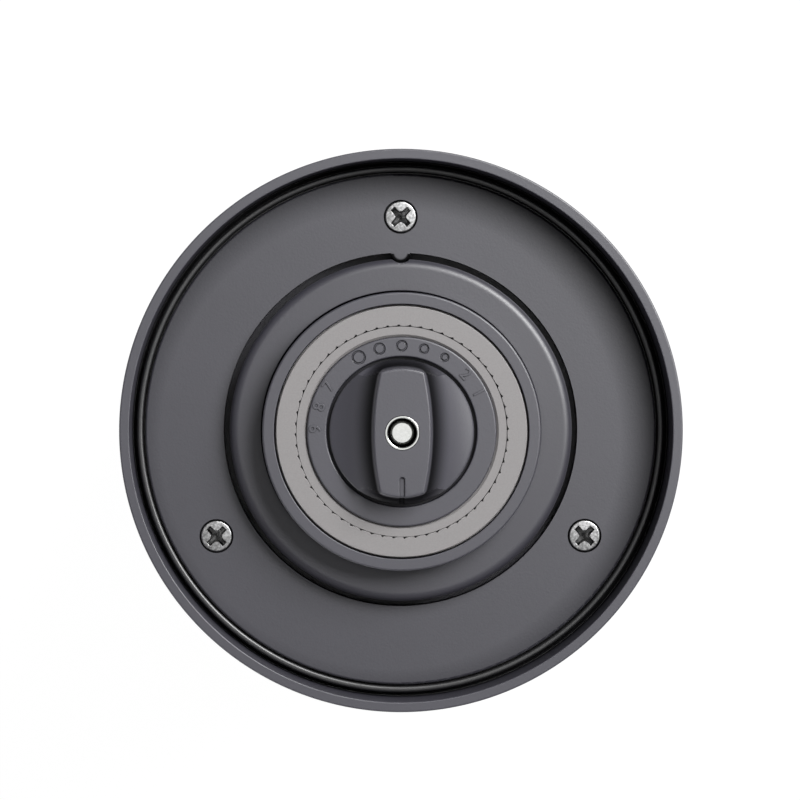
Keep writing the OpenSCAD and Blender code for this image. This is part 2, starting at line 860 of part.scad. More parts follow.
module head_shell() {
    charge_w = 22;
    color(grey)
        difference() {
            union() {
                rotate_extrude()
                    difference() {
                        union() {
                            slab(0, body_r, head_fillet, head_h);
                            slab(0, body_r - head_fillet, 0, head_h);
                            intersection() {
                                translate([body_r - head_fillet, head_fillet])
                                    circle(head_fillet);
                                slab(0, body_r, 0, head_h);
                            }
                        }
                        slab(0, head_in_r, head_floor, head_h + lap);
                    }
                around(chassis_boss_angles, chassis_boss_at)
                    rod(chassis_boss_r, head_floor - lap, chassis_z0);
                rotate(180)
                    board_rails(board_w, board_y);
                board_rails(charge_w, charge_y);
            }
            around(chassis_boss_angles, chassis_boss_at)
                rod(chassis_screw_d / 2 + seat, chassis_z0 - chassis_screw_len - 1, chassis_z0 + lap);
            out_front(button_z)
                rod(button_r + pass, board_y, body_r + lap);
            out_back(socket_z)
                translate([0, 0, charge_y])
                    linear_extrude(body_r)
                        stadium(socket_w + 0.5, socket_t + 0.5);
            out_back(light_z)
                rod(light_r + seat, charge_y, body_r + lap);
        }
}

// Inner frame: closes the head, roofs the bean chamber and plugs into the mill
module chassis() {
    cup_r = cell_r + seat + cup_wall;
    color("#3a3a3f")
        difference() {
            union() {
                rod(chassis_r, chassis_z0, chassis_z);
                rotate_extrude()
                    slab(spigot_r - spigot_wall, spigot_r, chassis_z - lap, head_h + spigot_h);
                around([0, 180], cell_offset)
                    rod(cup_r, cell_z - cup_h + cup_roof, chassis_z0 + lap);
            }
            around([0, 180], cell_offset)
                rod(cell_r + seat, cell_z - cup_h, cell_z);
            rod(seal_r + seat, chassis_z0 - lap, chassis_z + lap);
            ring(oring_r - oring_d / 2, body_r, oring_z - oring_d / 2 - 0.1, oring_z + oring_d / 2 + 0.1);
            around(chassis_boss_angles, chassis_boss_at) {
                rod(chassis_screw_d / 2 + 0.35, chassis_z0 - lap, chassis_z + lap);
                rod(chassis_screw_head / 2 + 0.2, chassis_z - chassis_screw_head_h - 0.1, chassis_z + lap);
            }
            around([90, 270], lug_at)
                rod(cover_screw_d / 2 + seat, chassis_z0 - lap, chassis_z - 0.8);
        }
}

module chassis_screws() {
    color(steel)
        around(chassis_boss_angles, chassis_boss_at)
            screw(chassis_screw_d, chassis_screw_head, chassis_screw_head_h,
                chassis_z0 - chassis_screw_len, chassis_z - 0.1);
}

module head_seal() {
    color("#151517")
        rotate_extrude()
            translate([oring_r, oring_z])
                circle(oring_d / 2);
}

// Rubber lip ring round the coupling
module shaft_seal() {
    color("#151517")
        ring(coupling_r + run, seal_r, chassis_z0 + 0.4, chassis_z);
}

// Tray on the head's floor with a cup for each cell and a ring for the motor's end
module battery_cradle() {
    cup_r = cell_r + seat + cup_wall;
    motor_cup_r = motor_r + seat + cup_wall;
    bar_w = 9;
    bar_h = 3;
    color(dark)
        difference() {
            union() {
                around([0, 180], cell_offset)
                    rod(cup_r, head_floor, cell_z0 + cup_h);
                rod(motor_cup_r, head_floor, motor_z0 + 5);
                translate([-cell_offset, -bar_w / 2, head_floor])
                    cube([2 * cell_offset, bar_w, bar_h]);
            }
            around([0, 180], cell_offset)
                rod(cell_r + seat, cell_z0, cell_z);
            rod(motor_r + seat, motor_z0, motor_z);
            rod(motor_r - 2.4, head_floor - lap, motor_z);
        }
}

// Two cells, the second one turned end for end
module battery_cells() {
    nub_r = 2.8;
    nub_h = 1.2;
    color("#3f6f52") {
        translate([cell_offset, 0, 0]) {
            rod(cell_r, cell_z0, cell_z - nub_h);
            rod(nub_r, cell_z - nub_h - lap, cell_z);
        }
        translate([-cell_offset, 0, 0]) {
            rod(cell_r, cell_z0 + nub_h, cell_z);
            rod(nub_r, cell_z0, cell_z0 + nub_h + lap);
        }
    }
}

module control_board() {
    color("#24583a")
        translate([-board_w / 2, -board_y, head_floor])
            cube([board_w, board_t, rail_h]);
}

// Push switch on the board, right behind the button
module start_switch() {
    body_w = 6;
    body_h = 3.4;
    color(dark)
        out_front(button_z) {
            translate([-body_w / 2, -body_w / 2, board_y])
                cube([body_w, body_w, body_h]);
            rod(1.7, board_y + body_h - lap, board_y + switch_h);
        }
}

// Round button with a dished face and a flange behind the shell's wall
module power_button() {
    dish_r = 42;
    dish_depth = 0.45;
    color("#4a4a50")
        out_front(button_z)
            difference() {
                union() {
                    rod(button_r, button_back_y, button_face);
                    rod(button_flange_r, button_back_y, button_flange_y);
                }
                translate([0, 0, button_face + dish_r - dish_depth])
                    sphere(dish_r);
            }
}

module button_spring() {
    wire = 0.5;
    inset = 0.9;
    color(steel)
        out_front(button_z)
            coil(button_r - inset, wire, board_y, button_back_y, 3);
}

module charge_board() {
    charge_w = 22;
    color("#24583a")
        translate([-charge_w / 2, charge_y - board_t, head_floor])
            cube([charge_w, board_t, rail_h]);
}

// Flat socket with round ends, a metal shell and a tongue
module charging_socket() {
    shell_t = 0.35;
    back = 1.2;
    color(steel)
        out_back(socket_z)
            translate([0, 0, charge_y]) {
                difference() {
                    linear_extrude(socket_len)
                        stadium(socket_w, socket_t);
                    translate([0, 0, back])
                        linear_extrude(socket_len)
                            stadium(socket_w - 2 * shell_t, socket_t - 2 * shell_t);
                }
                translate([-socket_w * 0.37, -0.35, back - lap])
                    cube([socket_w * 0.74, 0.7, socket_len - back - 0.6]);
            }
}

module charge_light() {
    color(white)
        out_back(light_z)
            rod(light_r, charge_y, body_r - 0.15);
}

// Motor

module motor_can() {
    front = 2.4;
    can_z0 = motor_z0 + cap_t;
    color(steel)
        difference() {
            union() {
                rod(motor_r, can_z0, motor_z);
                rod(motor_boss_r, motor_z - lap, motor_z + motor_boss_h);
            }
            rod(motor_r - can_wall, can_z0 - lap, motor_z - front);
            rod(motor_shaft_r + run, motor_z - front - lap, motor_z + motor_boss_h + lap);
            around([0, 180], motor_screw_at)
                rod(motor_screw_d / 2 + seat, motor_z - front - lap, motor_z + lap);
        }
}

module motor_magnets() {
    gap_w = 8;
    color(dark)
        difference() {
            ring(motor_r - can_wall - magnet_t, motor_r - can_wall - seat, stack_z0, stack_z);
            translate([-motor_d, -gap_w / 2, stack_z0 - lap])
                cube([2 * motor_d, gap_w, stack_z - stack_z0 + 2 * lap]);
        }
}

// Insulating cap with the shaft's rear bearing and two terminal tabs
module motor_end_cap() {
    tab_w = 2.8;
    tab_t = 0.5;
    tab_len = 3.5;
    tab_at = 8;
    color("#e2e0d6")
        difference() {
            union() {
                rod(motor_r, motor_z0, motor_z0 + cap_t);
                rod(motor_r - can_wall - seat, motor_z0, motor_z0 + cap_t + 2);
                for (side = [-1, 1])
                    translate([-tab_w / 2, side * tab_at - tab_t / 2, motor_z0 - tab_len])
                        cube([tab_w, tab_t, tab_len + lap]);
            }
            rod(motor_shaft_r + run, motor_z0 - lap, motor_z0 + 2 * cap_t);
            rod(commutator_r + pass, motor_z0 + cap_t - 0.6, motor_z0 + 2 * cap_t);
        }
}

module motor_screws() {
    color(steel)
        around([0, 180], motor_screw_at)
            screw(motor_screw_d, motor_screw_head, motor_screw_head_h, motor_z - 2.2, back_z - 0.1);
}

// Shaft, commutator and a slotted iron core
module motor_armature() {
    core_r = motor_r - can_wall - magnet_t - pass;
    slot_r = core_r * 0.27;
    slots = 5;
    color("#8d8f94")
        union() {
            rod(motor_shaft_r, motor_z0 + 0.6, planet1_z - 0.2);
            rod(commutator_r, motor_z0 + cap_t, motor_z0 + cap_t + 5);
            translate([0, 0, stack_z0 + 1])
                linear_extrude(stack_z - stack_z0 - 2)
                    difference() {
                        circle(core_r);
                        for (k = [0:slots - 1])
                            rotate(360 / slots * k) {
                                translate([core_r * 0.6, 0])
                                    circle(slot_r);
                                translate([core_r * 0.6, -slot_r / 3])
                                    square([core_r, slot_r / 1.5]);
                            }
                    }
        }
}

module sun_pinion() {
    color(brass)
        difference() {
            wheel(sun_teeth, addendum, dedendum, backlash, planet1_z0, planet1_z - 0.1);
            rod(motor_shaft_r + 0.02, planet1_z0 - lap, planet1_z + lap);
        }
}

// Gearbox

module gearbox_housing() {
    color("#b9babd")
        difference() {
            rod(gearbox_r, back_z0, cover_z0);
            rotate(180 / ring_teeth)
                wheel(ring_teeth, dedendum, addendum, -2 * backlash, back_z, cover_z0 + lap);
            rod(motor_boss_r + seat, back_z0 - lap, back_z0 + motor_boss_h + 0.1);
            rod(3.8, back_z0 - lap, back_z + lap);
            around([0, 180], motor_screw_at) {
                rod(motor_screw_d / 2 + 0.15, back_z0 - lap, back_z + lap);
                rod(motor_screw_head / 2 + 0.1, back_z - motor_screw_head_h - 0.2, back_z + lap);
            }
            around(gearbox_screw_angles, gearbox_screw_at)
                rod(gearbox_screw_d / 2 + seat, cover_z0 - gearbox_screw_len - 0.5, cover_z0 + lap);
        }
}

// Cover with the output bush and two lugs that hang the gearbox on the chassis
module gearbox_cover() {
    color("#b9babd")
        difference() {
            union() {
                rod(gearbox_r, cover_z0, chassis_z0);
                around([90, 270], lug_at) {
                    rod(lug_r, cover_z0, chassis_z0);
                    translate([-lug_r - 1, -lug_r, cover_z0])
                        cube([lug_r + 1, 2 * lug_r, cover_t]);
                }
            }
            rod(output_bush_r + seat, cover_z0 - lap, chassis_z0 + lap);
            around(gearbox_screw_angles, gearbox_screw_at) {
                rod(gearbox_screw_d / 2 + 0.15, cover_z0 - lap, chassis_z0 + lap);
                rod(gearbox_screw_head / 2 + 0.1, chassis_z0 - gearbox_screw_head_h - 0.1, chassis_z0 + lap);
            }
            around([90, 270], lug_at)
                rod(cover_screw_d / 2 + 0.25, cover_z0 - lap, chassis_z0 + lap);
        }
}

module gearbox_screws() {
    color(steel)
        around(gearbox_screw_angles, gearbox_screw_at)
            screw(gearbox_screw_d, gearbox_screw_head, gearbox_screw_head_h,
                cover_z0 - gearbox_screw_len, chassis_z0 - 0.1);
}

// Screws that go up through the cover's lugs into the chassis
module cover_screws() {
    color(steel)
        around([90, 270], lug_at)
            mirror([0, 0, 1])
                screw(cover_screw_d, cover_screw_head, cover_screw_head_h,
                    -chassis_z + 1.2, -cover_z0 + cover_screw_head_h);
}

module output_bush() {
    color("#9c7a45")
        difference() {
            union() {
                rod(output_bush_r, cover_z0, chassis_z0 - 0.2);
                rod(output_bush_r + bush_flange_w, cover_z0 - bush_flange_t, cover_z0);
            }
            rod(output_r + run, cover_z0 - bush_flange_t - lap, chassis_z0 + lap);
        }
}

// A planet wheel at place k of three, a gap between its teeth facing the sun and the ring
module planet(k, pin_r, z0, z1) {
    rotate(planet_angles[k])
        translate([planet_at, 0, 0])
            rotate(180 / planet_teeth)
                difference() {
                    wheel(planet_teeth, addendum, dedendum, backlash, z0, z1);
                    rod(pin_r + run, z0 - lap, z1 + lap);
                }
}

module first_planet(k) {
    color(white)
        planet(k, pin1_r, planet1_z0, planet1_z);
}

module second_planet(k) {
    color(brass)
        planet(k, pin2_r, planet2_z0, planet2_z);
}

// Disc with three pins below and the second sun on top
module first_carrier() {
    color("#9a9ca0")
        union() {
            rod(carrier_r, carrier1_z - carrier1_t, carrier1_z);
            around(planet_angles, planet_at)
                rod(pin1_r, planet1_z0, carrier1_z - carrier1_t + lap);
            wheel(sun_teeth, addendum, dedendum, backlash, carrier1_z - lap, planet2_z - 0.1);
        }
}

// Outline of the output shaft, round with one flat
module flatted(r, grow) {
    difference() {
        circle(r + grow);
        translate([r * 0.8 + grow, -2 * r])
            square(4 * r);
    }
}

module second_carrier() {
    color("#9a9ca0")
        union() {
            rod(carrier_r, carrier2_z - carrier2_t, carrier2_z);
            around(planet_angles, planet_at)
                rod(pin2_r, planet2_z0, carrier2_z - carrier2_t + lap);
            rod(output_r, carrier2_z - lap, chassis_z0 + 0.3);
            translate([0, 0, chassis_z0])
                linear_extrude(output_top_z - chassis_z0)
                    flatted(output_r, 0);
        }
}

// Sleeve on the output shaft with a six-sided socket for the drive shaft
module drive_coupling() {
    color(steel)
        difference() {
            rod(coupling_r, chassis_z0 + 0.4, head_h + spigot_h);
            translate([0, 0, chassis_z0])
                linear_extrude(output_top_z - chassis_z0 + 0.1)
                    flatted(output_r, 0.03);
            translate([0, 0, output_top_z])
                cylinder(r = hex_r + run, h = head_h, $fn = 6);
        }
}

head_shell();
chassis();
chassis_screws();
head_seal();
shaft_seal();
battery_cradle();
battery_cells();
control_board();
start_switch();
power_button();
button_spring();
charge_board();
charging_socket();
charge_light();
motor_can();
motor_magnets();
motor_end_cap();
motor_screws();
motor_armature();
sun_pinion();
gearbox_housing();
gearbox_cover();
gearbox_screws();
cover_screws();
output_bush();
first_planet(0);  // first_planet_1
first_planet(1);  // first_planet_2
first_planet(2);  // first_planet_3
first_carrier();
second_planet(0);  // second_planet_1
second_planet(1);  // second_planet_2
second_planet(2);  // second_planet_3
second_carrier();
drive_coupling();
body_shell();
hopper_liner();
bottom_plate();
plate_screws();
seal_ring();
burr_housing();
burr_retainer();
outer_burr();
bearing_spider();
shaft_bush();
drive_shaft();
shaft_clip();
inner_burr();
dial_plate();
burr_spring();
adjust_knob();
knob_insert();
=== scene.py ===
import bmesh
import bpy
import numpy as np
from mathutils import Matrix, Vector


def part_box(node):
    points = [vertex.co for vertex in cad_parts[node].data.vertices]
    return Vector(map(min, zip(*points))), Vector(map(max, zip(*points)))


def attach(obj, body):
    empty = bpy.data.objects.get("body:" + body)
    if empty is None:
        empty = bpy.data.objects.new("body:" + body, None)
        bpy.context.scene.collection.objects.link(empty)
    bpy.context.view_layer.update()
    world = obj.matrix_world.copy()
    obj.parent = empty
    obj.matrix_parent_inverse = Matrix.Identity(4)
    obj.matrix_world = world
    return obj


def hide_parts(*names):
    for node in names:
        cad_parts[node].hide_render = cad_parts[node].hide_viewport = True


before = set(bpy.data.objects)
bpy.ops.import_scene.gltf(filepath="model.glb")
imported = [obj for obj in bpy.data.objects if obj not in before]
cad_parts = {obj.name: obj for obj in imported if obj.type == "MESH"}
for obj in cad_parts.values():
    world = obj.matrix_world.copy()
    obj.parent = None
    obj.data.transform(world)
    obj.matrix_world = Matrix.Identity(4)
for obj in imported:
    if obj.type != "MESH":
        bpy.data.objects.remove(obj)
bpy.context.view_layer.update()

# Studio: a white paper table in a dim white tent, with a soft box up to the right and a weak panel overhead.
# A low panel in front lights the walls only. The camera looks straight down, a little off the axis,
# as the picture does.
MM = 0.001
RIM_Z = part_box("body_shell")[1].z
FRAME_WIDTH = 127.54 * MM
CAMERA_HEIGHT = 500 * MM
CAMERA_OFFSET = (-8 * MM, 17 * MM)
AIM_OFFSET = (-0.22 * MM, 4.97 * MM)
SENSOR = 36.0
TABLE_SIZE = 6.0
TABLE_DROP = 0.2 * MM
PAPER_GLOW = 1.06
GLOW_SHARE = 0.93
HARD_EDGE = np.radians(32)
SAME_POINT = 1e-7
NO_LENGTH = 1e-8
TENT_LOW = 0.22
TENT_HIGH = 0.12
LAMPS = {
    "soft_box": (41, 43, 1.2, RIM_Z, 0.74, 0.74, 18.0),
    "overhead_panel": (4, 60, 1.2, RIM_Z, 0.5, 0.5, 0.55),
    "low_panel": (90, 240, 0.8, RIM_Z / 2, 0.9, 0.13, 2.0)}

scene = bpy.context.scene
scene.view_settings.view_transform = "Standard"


def linear(code):
    """sRGB hex colour to linear red, green, blue and alpha."""
    part = np.array([int(code[i:i + 2], 16) for i in (0, 2, 4)]) / 255
    low = part / 12.92
    high = ((part + 0.055) / 1.055) ** 2.4
    return (*np.where(part <= 0.04045, low, high).tolist(), 1.0)


def add(tree, kind, inputs=None, **settings):
    """Adds a node. An input takes an output, the first output in use of another node, or a value.
    Settings name the node's properties, its inputs with underscores for spaces, or its ramp's stops."""
    node = tree.nodes.new("ShaderNode" + kind)
    for key, value in settings.items():
        if key == "stops":
            for stop, (place, colour) in zip(node.color_ramp.elements, value):
                stop.position = place
                stop.color = colour
        elif hasattr(node, key):
            setattr(node, key, value)
        else:
            node.inputs[key.replace("_", " ")].default_value = value
    for key, source in (inputs or {}).items():
        if isinstance(source, bpy.types.Node):
            source = next(output for output in source.outputs if output.enabled)
        if isinstance(source, bpy.types.NodeSocket):
            tree.links.new(source, node.inputs[key])
        else:
            node.inputs[key].default_value = source
    return node


def empty_tree(owner):
    """Turns on the nodes of a material or a world and clears them."""
    owner.use_nodes = True
    owner.node_tree.nodes.clear()
    return owner.node_tree


def spread(x, y, z):
    """Points from three arrays of coordinates, each stretched to the shape that they share."""
    return np.stack(np.broadcast_arrays(x, y, z), -1)


def merge(mesh):
    """Merges points that fall together and drops faces that have no area left."""
    work = bmesh.new()
    work.from_mesh(mesh)
    bmesh.ops.remove_doubles(work, verts=work.verts, dist=SAME_POINT)
    bmesh.ops.dissolve_degenerate(work, edges=work.edges, dist=NO_LENGTH)
    work.to_mesh(mesh)
    work.free()


def grid_piece(name, points, wrap_rows=True, wrap_columns=False):
    """A mesh from a grid of points: rows run round the piece, columns run along its outline.

    Each face joins four neighbours. Points that fall together, as at a pole, are merged,
    and the faces are turned so that the volume they enclose is positive.
    """
    rows, columns = points.shape[:2]
    i = np.arange(rows if wrap_rows else rows - 1)[:, None]
    j = np.arange(columns if wrap_columns else columns - 1)[None, :]
    i2, j2 = (i + 1) % rows, (j + 1) % columns
    corners = [i * columns + j, i2 * columns + j, i2 * columns + j2, i * columns + j2]
    quads = np.stack(corners, -1).reshape(-1, 4)
    flat = points.reshape(-1, 3)
    a, b, c, d = (flat[quads[:, k]] for k in range(4))
    volume = np.einsum("ij,ij->", a, np.cross(b, c)) + np.einsum("ij,ij->", a, np.cross(c, d))
    if volume < 0:
        quads = quads[:, ::-1]
    mesh = bpy.data.meshes.new(name)
    mesh.vertices.add(len(flat))
    mesh.vertices.foreach_set("co", flat.astype(np.float32).ravel())
    mesh.loops.add(quads.size)
    mesh.loops.foreach_set("vertex_index", quads.astype(np.int32).ravel())
    mesh.polygons.add(len(quads))
    mesh.polygons.foreach_set("loop_start", np.arange(0, quads.size, 4, dtype=np.int32))
    mesh.update(calc_edges=True)
    mesh.validate()
    merge(mesh)
    mesh.polygons.foreach_set("use_smooth", np.ones(len(mesh.polygons), bool))
    mesh.set_sharp_from_angle(angle=HARD_EDGE)
    piece = bpy.data.objects.new(name, mesh)
    scene.collection.objects.link(piece)
    return piece


def paper_white():
    """Matt white paper sweep: shows white to the camera and to gloss, and still takes a soft shadow."""
    material = bpy.data.materials.new("white_paper_sweep")
    tree = empty_tree(material)
    path = add(tree, "LightPath")
    seen = add(tree, "Math", {0: path.outputs["Is Camera Ray"], 1: path.outputs["Is Glossy Ray"]},
               operation="MAXIMUM")
    share = add(tree, "Math", {0: seen, 1: GLOW_SHARE}, operation="MULTIPLY")
    paper = add(tree, "BsdfDiffuse", Color=linear("f2f2f2"))
    glow = add(tree, "Emission", Color=linear("ffffff"), Strength=PAPER_GLOW)
    both = add(tree, "MixShader", {0: share, 1: paper, 2: glow})
    add(tree, "OutputMaterial", {"Surface": both})
    return material


table_edge = np.array([-1.0, 1.0]) * TABLE_SIZE / 2
table = grid_piece("table", spread(table_edge[:, None], table_edge[None, :], -TABLE_DROP), wrap_rows=False)
if table.data.polygons[0].normal.z < 0:
    table.data.flip_normals()
table.data.materials.append(paper_white())

world = bpy.data.worlds.new("white_tent")
scene.world = world
sky = empty_tree(world)
sky_way = add(sky, "TexCoord")
sky_split = add(sky, "SeparateXYZ", {"Vector": sky_way.outputs["Generated"]})
sky_level = add(sky, "MapRange", {"Value": sky_split.outputs["Z"]}, To_Min=TENT_LOW, To_Max=TENT_HIGH)
tent = add(sky, "Background", {"Strength": sky_level}, Color=linear("fdfdff"))
backdrop = add(sky, "Background", Color=linear("ffffff"), Strength=1.0)
sky_path = add(sky, "LightPath")
sky_seen = add(sky, "MixShader", {0: sky_path.outputs["Is Camera Ray"], 1: tent, 2: backdrop})
add(sky, "OutputWorld", {"Surface": sky_seen})

for name, (zenith, azimuth, away, aim_z, across, tall, watts) in LAMPS.items():
    light = bpy.data.lights.new(name, "AREA")
    light.shape = "ELLIPSE"
    light.size = across
    light.size_y = tall
    light.energy = watts
    zenith, azimuth = np.radians([zenith, azimuth])
    way = Vector((np.sin(zenith) * np.cos(azimuth), np.sin(zenith) * np.sin(azimuth), np.cos(zenith)))
    stand = bpy.data.objects.new(name, light)
    scene.collection.objects.link(stand)
    stand.location = Vector((0, 0, aim_z)) + away * way
    stand.rotation_euler = (-way).to_track_quat("-Z", "Y").to_euler()
    stand.visible_camera = False

lens = bpy.data.cameras.new("camera")
lens.sensor_width = SENSOR
lens.lens = SENSOR * CAMERA_HEIGHT / FRAME_WIDTH
camera = bpy.data.objects.new("camera", lens)
scene.collection.objects.link(camera)
eye = Vector((*CAMERA_OFFSET, RIM_Z + CAMERA_HEIGHT))
aim = Vector((*AIM_OFFSET, RIM_Z))
back = (eye - aim).normalized()
right = Vector((0, 1, 0)).cross(back).normalized()
camera.matrix_world = Matrix.Translation(eye) @ Matrix((right, back.cross(right), back)).transposed().to_4x4()
scene.camera = camera

# Mill shell: one moulded ABS tube, dark grey, with a fine spark-eroded matt grain.
# Its lower lip carries the hopper, its ledge the bottom plate, and its end is the rim round the cup.
shell_low, shell_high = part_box("body_shell")
plate_low, plate_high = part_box("bottom_plate")
liner_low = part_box("hopper_liner")[0]
RIM_WIDTH = 1.6 * MM
LEDGE_WIDTH = 4.05 * MM
LEDGE_THICKNESS = 3 * MM
LIP_WIDTH = 2.4 * MM
PARTING_FILLET = 0.45 * MM
RIM_FILLET = 0.25 * MM
RIM_FILLET_IN = 0.16 * MM
EDGE = 0.2 * MM
CLOSE_EDGE = 0.15 * MM
FINE_EDGE = 0.1 * MM
SHARP_EDGE = 0.05 * MM
FILLET_ROOM = 0.42
SPARE_RUN = 0.3
SPARE_ROOM = 0.04
TURNS = 288
ABS_GREY = "44434c"
BODY_FINISH = {"rough": 0.46, "sheen": 2.0}
FLOW_WIDTH = 16 * MM
GLOSS_DRIFT = 0.07
CLOSED_IN = 0.25
WALL_GLOSS = 0.3
WIPED_BELOW = 0.6 * MM
OILY_ABOVE = 0.2 * MM


def start_material(name):
    """A new material, its empty node tree and the Object coordinates that its patterns read."""
    material = bpy.data.materials.new(name)
    tree = empty_tree(material)
    return material, tree, add(tree, "TexCoord").outputs["Object"]


def shades(code, *stops):
    """Colour stops from pairs of place and share: the hex colour times the share, and never past white."""
    base = np.array(linear(code)[:3])
    return [(place, (*np.minimum(base * share, 1).tolist(), 1.0)) for place, share in stops]


def given(socket):
    """What an input gets: the output that is linked to it, or its own value, a colour without its alpha."""
    if socket.links:
        return socket.links[0].from_socket
    return socket.default_value[:3] if socket.type == "RGBA" else socket.default_value


def painted_corner_shade(tree, reach, least, clear=0.85):
    """Painted corner shade: a share of 1 where a spot is clear, falling to least where walls within reach,
    in millimetres, close it in."""
    open_share = add(tree, "AmbientOcclusion", Distance=reach * MM, samples=8)
    return add(tree, "MapRange", {"Value": open_share.outputs["AO"]}, From_Min=CLOSED_IN, From_Max=clear,
               To_Min=least, To_Max=1.0)


def paint_shade(tree, skin, share):
    """Multiplies a surface's colour and its gloss by a share: painted shade, which darkens and dulls."""
    colour, gloss = skin.inputs["Base Color"], skin.inputs["Specular IOR Level"]
    film = add(tree, "VectorMath", {0: given(colour), 1: share}, operation="MULTIPLY")
    dull = add(tree, "Math", {0: given(gloss), 1: share}, operation="MULTIPLY")
    tree.links.new(film.outputs[0], colour)
    tree.links.new(dull.outputs[0], gloss)


def patterned(name, kind, pattern, relief, level="Fac", flow=None, stops=None, gloss=None, corner=None,
              **skin):
    """A material with one pattern on Object coordinates, whose level drives its bump and its range of gloss.

    The colour stops follow that level too, or else slow noise whose lumps are as wide as flow.
    The corner values are those of the painted shade in its corners.
    """
    material, tree, place = start_material(name)
    level = add(tree, kind, {"Vector": place}, **pattern).outputs[level]
    inputs = {"Normal": add(tree, "Bump", {"Height": level}, Distance=relief)}
    if stops:
        drift = add(tree, "TexNoise", {"Vector": place}, Scale=1 / flow, Detail=2.0) if flow else level
        inputs["Base Color"] = add(tree, "ValToRGB", {"Fac": drift}, stops=stops)
    if gloss:
        inputs["Roughness"] = add(tree, "MapRange", {"Value": level}, To_Min=gloss[0], To_Max=gloss[1])
    surface = add(tree, "BsdfPrincipled", inputs, **skin)
    if corner:
        paint_shade(tree, surface, painted_corner_shade(tree, *corner))
    add(tree, "OutputMaterial", {"Surface": surface})
    return material


def spark_eroded_abs(name, code, grain=0.35, relief=0.012, rough=0.40, drift=0.05, sheen=1.5,
                     corner=(1.5, 0.3)):
    """Moulded ABS off a spark-eroded tool: matt, with slow drifts of tone and gloss, and painted shade in its
    corners.

    The grain is noise whose lumps are grain millimetres wide and relief millimetres high. The sheen is an
    index of refraction: oil on the dark body's grain gives it more than the plain plastic's 1.5. Other
    moulded and cast pieces use it with their own colour and grain.
    """
    return patterned(name, "TexNoise", {"Scale": 1 / (grain * MM), "Detail": 3.0}, relief * MM,
                     flow=FLOW_WIDTH, stops=shades(code, (0.3, 1 - drift), (0.7, 1 + drift)),
                     gloss=(rough - GLOSS_DRIFT, rough + GLOSS_DRIFT), corner=corner, IOR=sheen)


def surface_of(material):
    """A made material's node tree, its surface shader and the Object coordinates."""
    tree = material.node_tree
    skin = next(node for node in tree.nodes if node.type == "BSDF_PRINCIPLED")
    return tree, skin, add(tree, "TexCoord").outputs["Object"]


def handled_wall(material):
    """Takes gloss off the wall, where hands have wiped the oil from its grain.

    The share left is even up the wall and rises to 1 just under the rim.
    """
    tree, skin, place = surface_of(material)
    split = add(tree, "SeparateXYZ", {"Vector": place})
    share = add(tree, "MapRange", {"Value": split.outputs["Z"]}, From_Min=RIM_Z - WIPED_BELOW,
                From_Max=RIM_Z - OILY_ABOVE, To_Min=WALL_GLOSS, To_Max=1.0)
    gloss = skin.inputs["Specular IOR Level"]
    wiped = add(tree, "Math", {0: given(gloss), 1: share}, operation="MULTIPLY")
    tree.links.new(wiped.outputs[0], gloss)
    return material


def rounded(corners, steps=6):
    """Closed outline through corners (radius, height, fillet): each corner becomes an arc that meets
    both edges smoothly, with one more point a little way along each edge to keep the flats flat."""
    spots = np.array([c[:2] for c in corners])
    outline = []
    for k, (r, z, fillet) in enumerate(corners):
        here = spots[k]
        back, ahead = spots[k - 1] - here, spots[(k + 1) % len(spots)] - here
        room = min(np.linalg.norm(back), np.linalg.norm(ahead))
        back, ahead = back / np.linalg.norm(back), ahead / np.linalg.norm(ahead)
        half = np.arccos(np.clip(back @ ahead, -1, 1)) / 2
        run = min(fillet / np.tan(half), FILLET_ROOM * room)
        fillet = run * np.tan(half)
        middle = here + (back + ahead) / np.linalg.norm(back + ahead) * fillet / np.sin(half)
        start, end = here + back * run - middle, here + ahead * run - middle
        turn = np.arctan2(start[0] * end[1] - start[1] * end[0], start @ end)
        angle = np.linspace(0, turn, steps + 1)[:, None]
        side = np.array([-start[1], start[0]])
        spare = min(SPARE_RUN * run, SPARE_ROOM * room)
        outline += [here + back * (run + spare)]
        outline += list(middle + np.cos(angle) * start + np.sin(angle) * side)
        outline += [here + ahead * (run + spare)]
    return np.array(outline)


def polar(r, angle, z):
    """Points at radius r and height z, turned round the Z axis by an angle."""
    return spread(r * np.cos(angle), r * np.sin(angle), z)


def revolve(name, outline, turns=TURNS):
    """Carries a closed outline of (radius, height) once round the Z axis."""
    angle = np.linspace(0, 2 * np.pi, turns, endpoint=False)[:, None]
    return grid_piece(name, polar(outline[None, :, 0], angle, outline[None, :, 1]), wrap_columns=True)


def coat(mesh, material):
    """Gives a mesh its one material."""
    mesh.materials.clear()
    mesh.materials.append(material)


def dress(piece, material, body, slot, *nodes):
    """Gives a piece its material and its body, and hides the solids that it stands for. The slot is not used.
    """
    coat(piece.data, material)
    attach(piece, body)
    if nodes:
        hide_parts(*nodes)


grey_abs = spark_eroded_abs("spark_eroded_grey_abs", ABS_GREY, **BODY_FINISH)
shell_abs = handled_wall(spark_eroded_abs("handled_grey_abs", ABS_GREY, **BODY_FINISH))
body_r = shell_high.x
shell_in = body_r - RIM_WIDTH
ledge_in = shell_in - LEDGE_WIDTH
lip_in = body_r - LIP_WIDTH
ledge_z = plate_low.z
ledge_low = ledge_z - LEDGE_THICKNESS
parting = shell_low.z
shell = revolve("mill_shell", rounded([
    (body_r, parting, PARTING_FILLET), (body_r, RIM_Z, RIM_FILLET), (shell_in, RIM_Z, RIM_FILLET_IN),
    (shell_in, ledge_z, EDGE), (ledge_in, ledge_z, EDGE), (ledge_in, ledge_low, EDGE),
    (shell_in, ledge_low, EDGE), (shell_in, liner_low.z, EDGE), (lip_in, liner_low.z, EDGE),
    (lip_in, parting, EDGE)]))
dress(shell, shell_abs, "mill", "grey_plastic", "body_shell")

